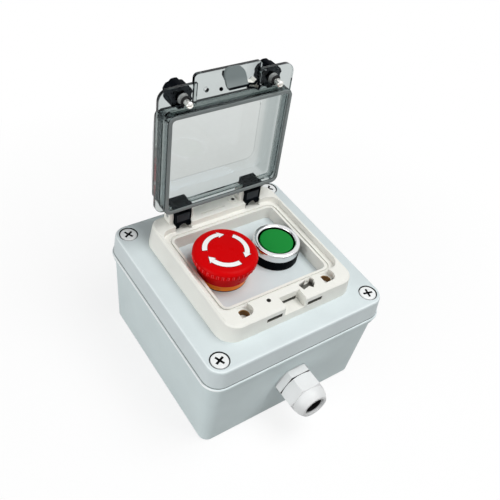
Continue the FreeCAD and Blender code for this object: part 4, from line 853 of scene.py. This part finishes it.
white_plastic = moulded_plastic("white_plastic", (0.81, 0.81, 0.76), 0.4, gloss=0.25, grain=2000, depth=0.00001)
grip_underside = Vector((-0.00445, 0.04447, 0.17304))
lock_root = 0.0040
lock_plug = copy_of("lock_sleeve", "lock_plug", black_plastic, white_plastic)
bpy.ops.object.mode_set(mode="EDIT")
bpy.ops.mesh.select_all(action="SELECT")
bpy.ops.mesh.bisect(plane_co=grip_underside - closed_up * lock_root, plane_no=closed_up)
# Painted light: the root of the sleeve takes a white finish.
select_faces(lock_plug, lambda middle, normal: (grip_underside - middle).dot(closed_up) < lock_root)
lock_plug.active_material_index = 1
bpy.ops.object.material_slot_assign()
bpy.ops.object.mode_set(mode="OBJECT")
smooth_to(32)
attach(lock_plug, "cover")
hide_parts("lock_sleeve")

rivet_radius = 0.0011
rivet_height = 0.0010
rivet_rounding = 0.0004
rivet_rim = 0.0002
rivet_dimple = 0.0002
rivet_sunk = 0.00005
bpy.ops.mesh.primitive_cylinder_add(vertices=24, radius=rivet_radius, depth=rivet_height)
latch_rivet = bpy.context.object
latch_rivet.name = "latch_rivet"
bpy.ops.object.mode_set(mode="EDIT")
select_faces(latch_rivet, lambda middle, normal: normal.z < -0.9)
bpy.ops.mesh.bevel(offset=rivet_rounding, segments=3, affect="EDGES")
select_faces(latch_rivet, lambda middle, normal: normal.z < -0.99)
bpy.ops.mesh.inset(thickness=rivet_rim)
bpy.ops.mesh.extrude_region_move(TRANSFORM_OT_translate={"value": (0, 0, rivet_dimple)})
bpy.ops.object.mode_set(mode="OBJECT")
latch_rivet.rotation_euler = (math.radians(-open_degrees), 0, 0)
latch_rivet.location = grip_underside - closed_up * (rivet_height / 2 - rivet_sunk)
bpy.ops.object.transform_apply(location=True, rotation=True)
smooth_to(40)
dress(latch_rivet, black_plastic)
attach(latch_rivet, "cover")


# Stud sleeves: two slim grey tubes moulded with a flared foot, in which the thumb screws turn. They are pressed
# into the cover's ears from below.

def pair_below_ears(piece, middle, name):
    """Two copies of a piece that was made upright, laid over with the open cover, one below each ear."""
    piece.rotation_euler = (math.radians(-open_degrees), 0, 0)
    bpy.ops.object.transform_apply(rotation=True)
    copies = [place_copy(piece, 0, (side * thumb_place, middle.y, middle.z)) for side in (-1, 1)]
    bpy.data.objects.remove(piece)
    pair = join(copies, name)
    smooth_to(40)
    return pair


sleeve_grey = moulded_plastic("sleeve_grey", (0.20, 0.21, 0.205), 0.38, gloss=0.3, grain=1800, depth=0.000012)
sleeve_low, sleeve_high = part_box("screw_sleeves")
solid_sleeve_width = 0.0068
lean_sine = 0.0436
lean_cosine = 0.999
sleeve_length = (sleeve_high.y - sleeve_low.y - solid_sleeve_width * lean_sine) / lean_cosine
sleeve_radius = 0.0027
sleeve_rim = 0.0004
sleeve_hollow = 0.0012
foot_height = 0.0009
foot_flare = 1.22
thumb_place = (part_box("thumb_stud_right")[0].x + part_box("thumb_stud_right")[1].x) / 2
bpy.ops.mesh.primitive_cylinder_add(vertices=48, radius=sleeve_radius, depth=sleeve_length)
sleeve = bpy.context.object
bpy.ops.object.mode_set(mode="EDIT")
select_faces(sleeve, lambda middle, normal: normal.z < -0.9)
bpy.ops.mesh.inset(thickness=sleeve_rim)
bpy.ops.mesh.extrude_region_move(TRANSFORM_OT_translate={"value": (0, 0, sleeve_hollow)})
select_faces(sleeve, lambda middle, normal: normal.z > 0.9)
bpy.ops.mesh.extrude_region_move(TRANSFORM_OT_translate={"value": (0, 0, 0)})
bpy.ops.transform.translate(value=(0, 0, -foot_height))
bpy.ops.mesh.extrude_region_move(TRANSFORM_OT_translate={"value": (0, 0, foot_height)})
bpy.ops.transform.resize(value=(foot_flare, foot_flare, 1), center_override=(0, 0, sleeve_length / 2))
bpy.ops.mesh.select_all(action="SELECT")
bpy.ops.mesh.remove_doubles(threshold=0.000001)
bpy.ops.mesh.normals_make_consistent(inside=False)
bpy.ops.object.mode_set(mode="OBJECT")
dress(sleeve, sleeve_grey)
stud_sleeves = pair_below_ears(sleeve, (sleeve_low + sleeve_high) / 2, "stud_sleeves")
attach(stud_sleeves, "cover")
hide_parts("screw_sleeves")


# Stud rings: two small rings of black rubber that hold the thumb screws in their sleeves, cut from one moulding
# with a faint seam round the outside.

ring_low, ring_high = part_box("stud_rings")
ring_radius = 0.0025
ring_thickness = 0.0005
ring_flattening = 0.8
seam_from = ring_radius + 0.00049
seam_swell = 1.02
bpy.ops.mesh.primitive_torus_add(major_radius=ring_radius, minor_radius=ring_thickness, major_segments=40,
                                 minor_segments=12)
ring = bpy.context.object
bpy.ops.object.mode_set(mode="EDIT")
bpy.ops.mesh.select_all(action="SELECT")
bpy.ops.transform.resize(value=(1, 1, ring_flattening), center_override=(0, 0, 0))
select_points(ring, lambda place: place.xy.length > seam_from)
bpy.ops.transform.resize(value=(seam_swell, seam_swell, 1), center_override=(0, 0, 0))
bpy.ops.object.mode_set(mode="OBJECT")
dress(ring, black_rubber)
rubber_rings = pair_below_ears(ring, (ring_low + ring_high) / 2, "rubber_rings")
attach(rubber_rings, "cover")
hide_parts("stud_rings")


# Thumb screws: fluted black knobs moulded on bright slotted studs, which turn in the cover's ears and screw it
# down on the frame.

nickel = plated("nickel", (0.78, 0.77, 0.74), 0.2)
finish_in(black_plastic, "thumb_knob_left", "thumb_knob_right")
finish_in(nickel, "thumb_stud_left", "thumb_stud_right")


# Cable gland: white nylon body and clamping nut around a rubber seal, held in the front of the base by a lock nut
# inside, with a pale washer below its flange. The seal's bore is painted dark as shade, and a thin black ring
# between body and nut is painted shade in the seam there.

gland_white = moulded_plastic("gland_white", (0.76, 0.77, 0.77), 0.4, gloss=0.25, grain=1600, depth=0.000012)
finish_in(gland_white, "gland_body", "gland_nut", "gland_locknut")
washer_grey = rubber("washer_grey", (0.48, 0.50, 0.51))
finish_in(washer_grey, "gland_washer")
seal_colour = (0.45, 0.46, 0.46)
seal_bore_shade_colour = (0.006, 0.006, 0.007)
seal_shade_to = 0.0053
seal_pale_from = 0.0056
gland_low, gland_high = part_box("gland_seal")
gland_axis = (gland_low + gland_high) / 2
grey_rubber = rubber("grey_rubber", seal_colour)
seal_tree = grey_rubber.node_tree
from_axis = distance_from(seal_tree, place_on(seal_tree), gland_axis, (1, 0, 1))
# Painted shade: the wall of the seal's bore is coloured almost black.
out_of_bore = spread(seal_tree, from_axis, 0, 1, seal_shade_to, seal_pale_from)
two_tone(grey_rubber, out_of_bore, seal_bore_shade_colour, seal_colour)
finish_in(grey_rubber, "gland_seal")

nut_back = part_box("gland_nut")[1].y
shade_ring_thickness = 0.0004
shade_ring_radius = 0.01255
shade_ring_width = 0.0015
shade_ring_rounding = 0.00008
# Painted shade: a thin black hex ring stands in the seam between body and nut.
bpy.ops.mesh.primitive_cylinder_add(vertices=6, radius=shade_ring_radius, depth=shade_ring_thickness)
shade_ring = bpy.context.object
shade_ring.name = "shade_ring"
bpy.ops.object.mode_set(mode="EDIT")
open_middle(shade_ring, shade_ring_width)
select_edges(shade_ring, on_outer_edge)
bpy.ops.mesh.bevel(offset=shade_ring_rounding, segments=2, affect="EDGES")
face_outwards()
bpy.ops.object.mode_set(mode="OBJECT")
shade_ring.rotation_euler = (math.radians(90), math.radians(30), 0)
shade_ring.location = (gland_axis.x, nut_back + shade_ring_thickness / 2, gland_axis.z)
bpy.ops.object.transform_apply(location=True, rotation=True)
dress(shade_ring, black_rubber)
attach(shade_ring, "enclosure")


# Stage: a plain pale floor in soft studio light from three softboxes. Floor and surroundings are white where they
# are seen, also mirrored or through the cover, and the camera stands at the photograph's angle.

def seen_at_all(tree):
    """1 where a surface is seen straight, mirrored or through something clear, and 0 where it only gives light."""
    ray = tree.nodes.new("ShaderNodeLightPath")
    seen_or_mirrored = calculate(tree, "MAXIMUM", ray.outputs["Is Camera Ray"], ray.outputs["Is Glossy Ray"])
    return calculate(tree, "MAXIMUM", seen_or_mirrored, ray.outputs["Is Transmission Ray"])


def mix_into(output, tree, share, first, second):
    """Send one shader passing into another to an output."""
    mix = tree.nodes.new("ShaderNodeMixShader")
    tree.links.new(share, mix.inputs["Fac"])
    tree.links.new(first, mix.inputs[1])
    tree.links.new(second, mix.inputs[2])
    tree.links.new(mix.outputs["Shader"], tree.nodes[output].inputs["Surface"])


bpy.ops.mesh.primitive_plane_add(size=6)
floor = bpy.context.object
floor.name = "floor"
floor_paper = bpy.data.materials.new("floor_paper")
floor_paper.use_nodes = True
paper_tree = floor_paper.node_tree
paper = paper_tree.nodes["Principled BSDF"]
paper.inputs["Roughness"].default_value = 0.9
paper.inputs["Specular IOR Level"].default_value = 0
glow = paper_tree.nodes.new("ShaderNodeEmission")
glow.inputs["Color"].default_value = (1, 1, 1, 1)
glow.inputs["Strength"].default_value = 1
paper_seen = seen_at_all(paper_tree)
paper_colour = mixed_colour(paper_tree, paper_seen, (0.4, 0.4, 0.4), (0.95, 0.95, 0.95))
paper_tree.links.new(paper_colour, paper.inputs["Base Color"])
from_middle = distance_from(paper_tree, place_on(paper_tree), (0, 0, 0), (1, 1, 1))
away_from_part = spread(paper_tree, from_middle, 0.82, 1, 0.08, 0.3)
glow_share = calculate(paper_tree, "MULTIPLY", paper_seen, away_from_part)
mix_into("Material Output", paper_tree, glow_share, paper.outputs["BSDF"], glow.outputs["Emission"])
dress(floor, floor_paper)

world = bpy.data.worlds.new("studio")
bpy.context.scene.world = world
world.use_nodes = True
world_tree = world.node_tree
soft_light = world_tree.nodes["Background"]
soft_light.inputs["Color"].default_value = (1, 1, 1, 1)
soft_light.inputs["Strength"].default_value = 0.2
white_wall = world_tree.nodes.new("ShaderNodeBackground")
white_wall.inputs["Color"].default_value = (1, 1, 1, 1)
white_wall.inputs["Strength"].default_value = 1
mix_into("World Output", world_tree, seen_at_all(world_tree), soft_light.outputs["Background"],
         white_wall.outputs["Background"])

lit_point = Vector((0, 0, 0.06))
for lamp_name, place, size, power in (
        ("key_softbox", (0.17, -0.18, 0.66), 0.4, 3.25),
        ("fill_softbox", (-0.80, -0.12, 0.26), 0.5, 3.7),
        ("front_softbox", (0.22, -0.74, 0.46), 0.5, 0.9)):
    bpy.ops.object.light_add(type="AREA", location=place)
    lamp = bpy.context.object
    lamp.name = lamp_name
    lamp.data.size = size
    lamp.data.energy = power
    lamp.rotation_euler = (Vector(place) - lit_point).to_track_quat("Z", "Y").to_euler()

camera_place = (-0.1947, -0.2169, 0.3710)
degrees_down = 44.248
degrees_to_right = 41.906
degrees_of_roll = 11.551
camera_turn = Euler((math.radians(90 - degrees_down), 0, math.radians(-degrees_to_right))).to_matrix().to_4x4()
camera_roll = Matrix.Rotation(math.radians(degrees_of_roll), 4, "Z")
bpy.ops.object.camera_add()
camera = bpy.context.object
camera.name = "photo_camera"
camera.matrix_world = Matrix.Translation(camera_place) @ camera_turn @ camera_roll
camera.data.lens = 48.87
camera.data.sensor_width = 36
camera.data.clip_start = 0.01
bpy.context.scene.camera = camera
bpy.context.scene.view_settings.view_transform = "Standard"
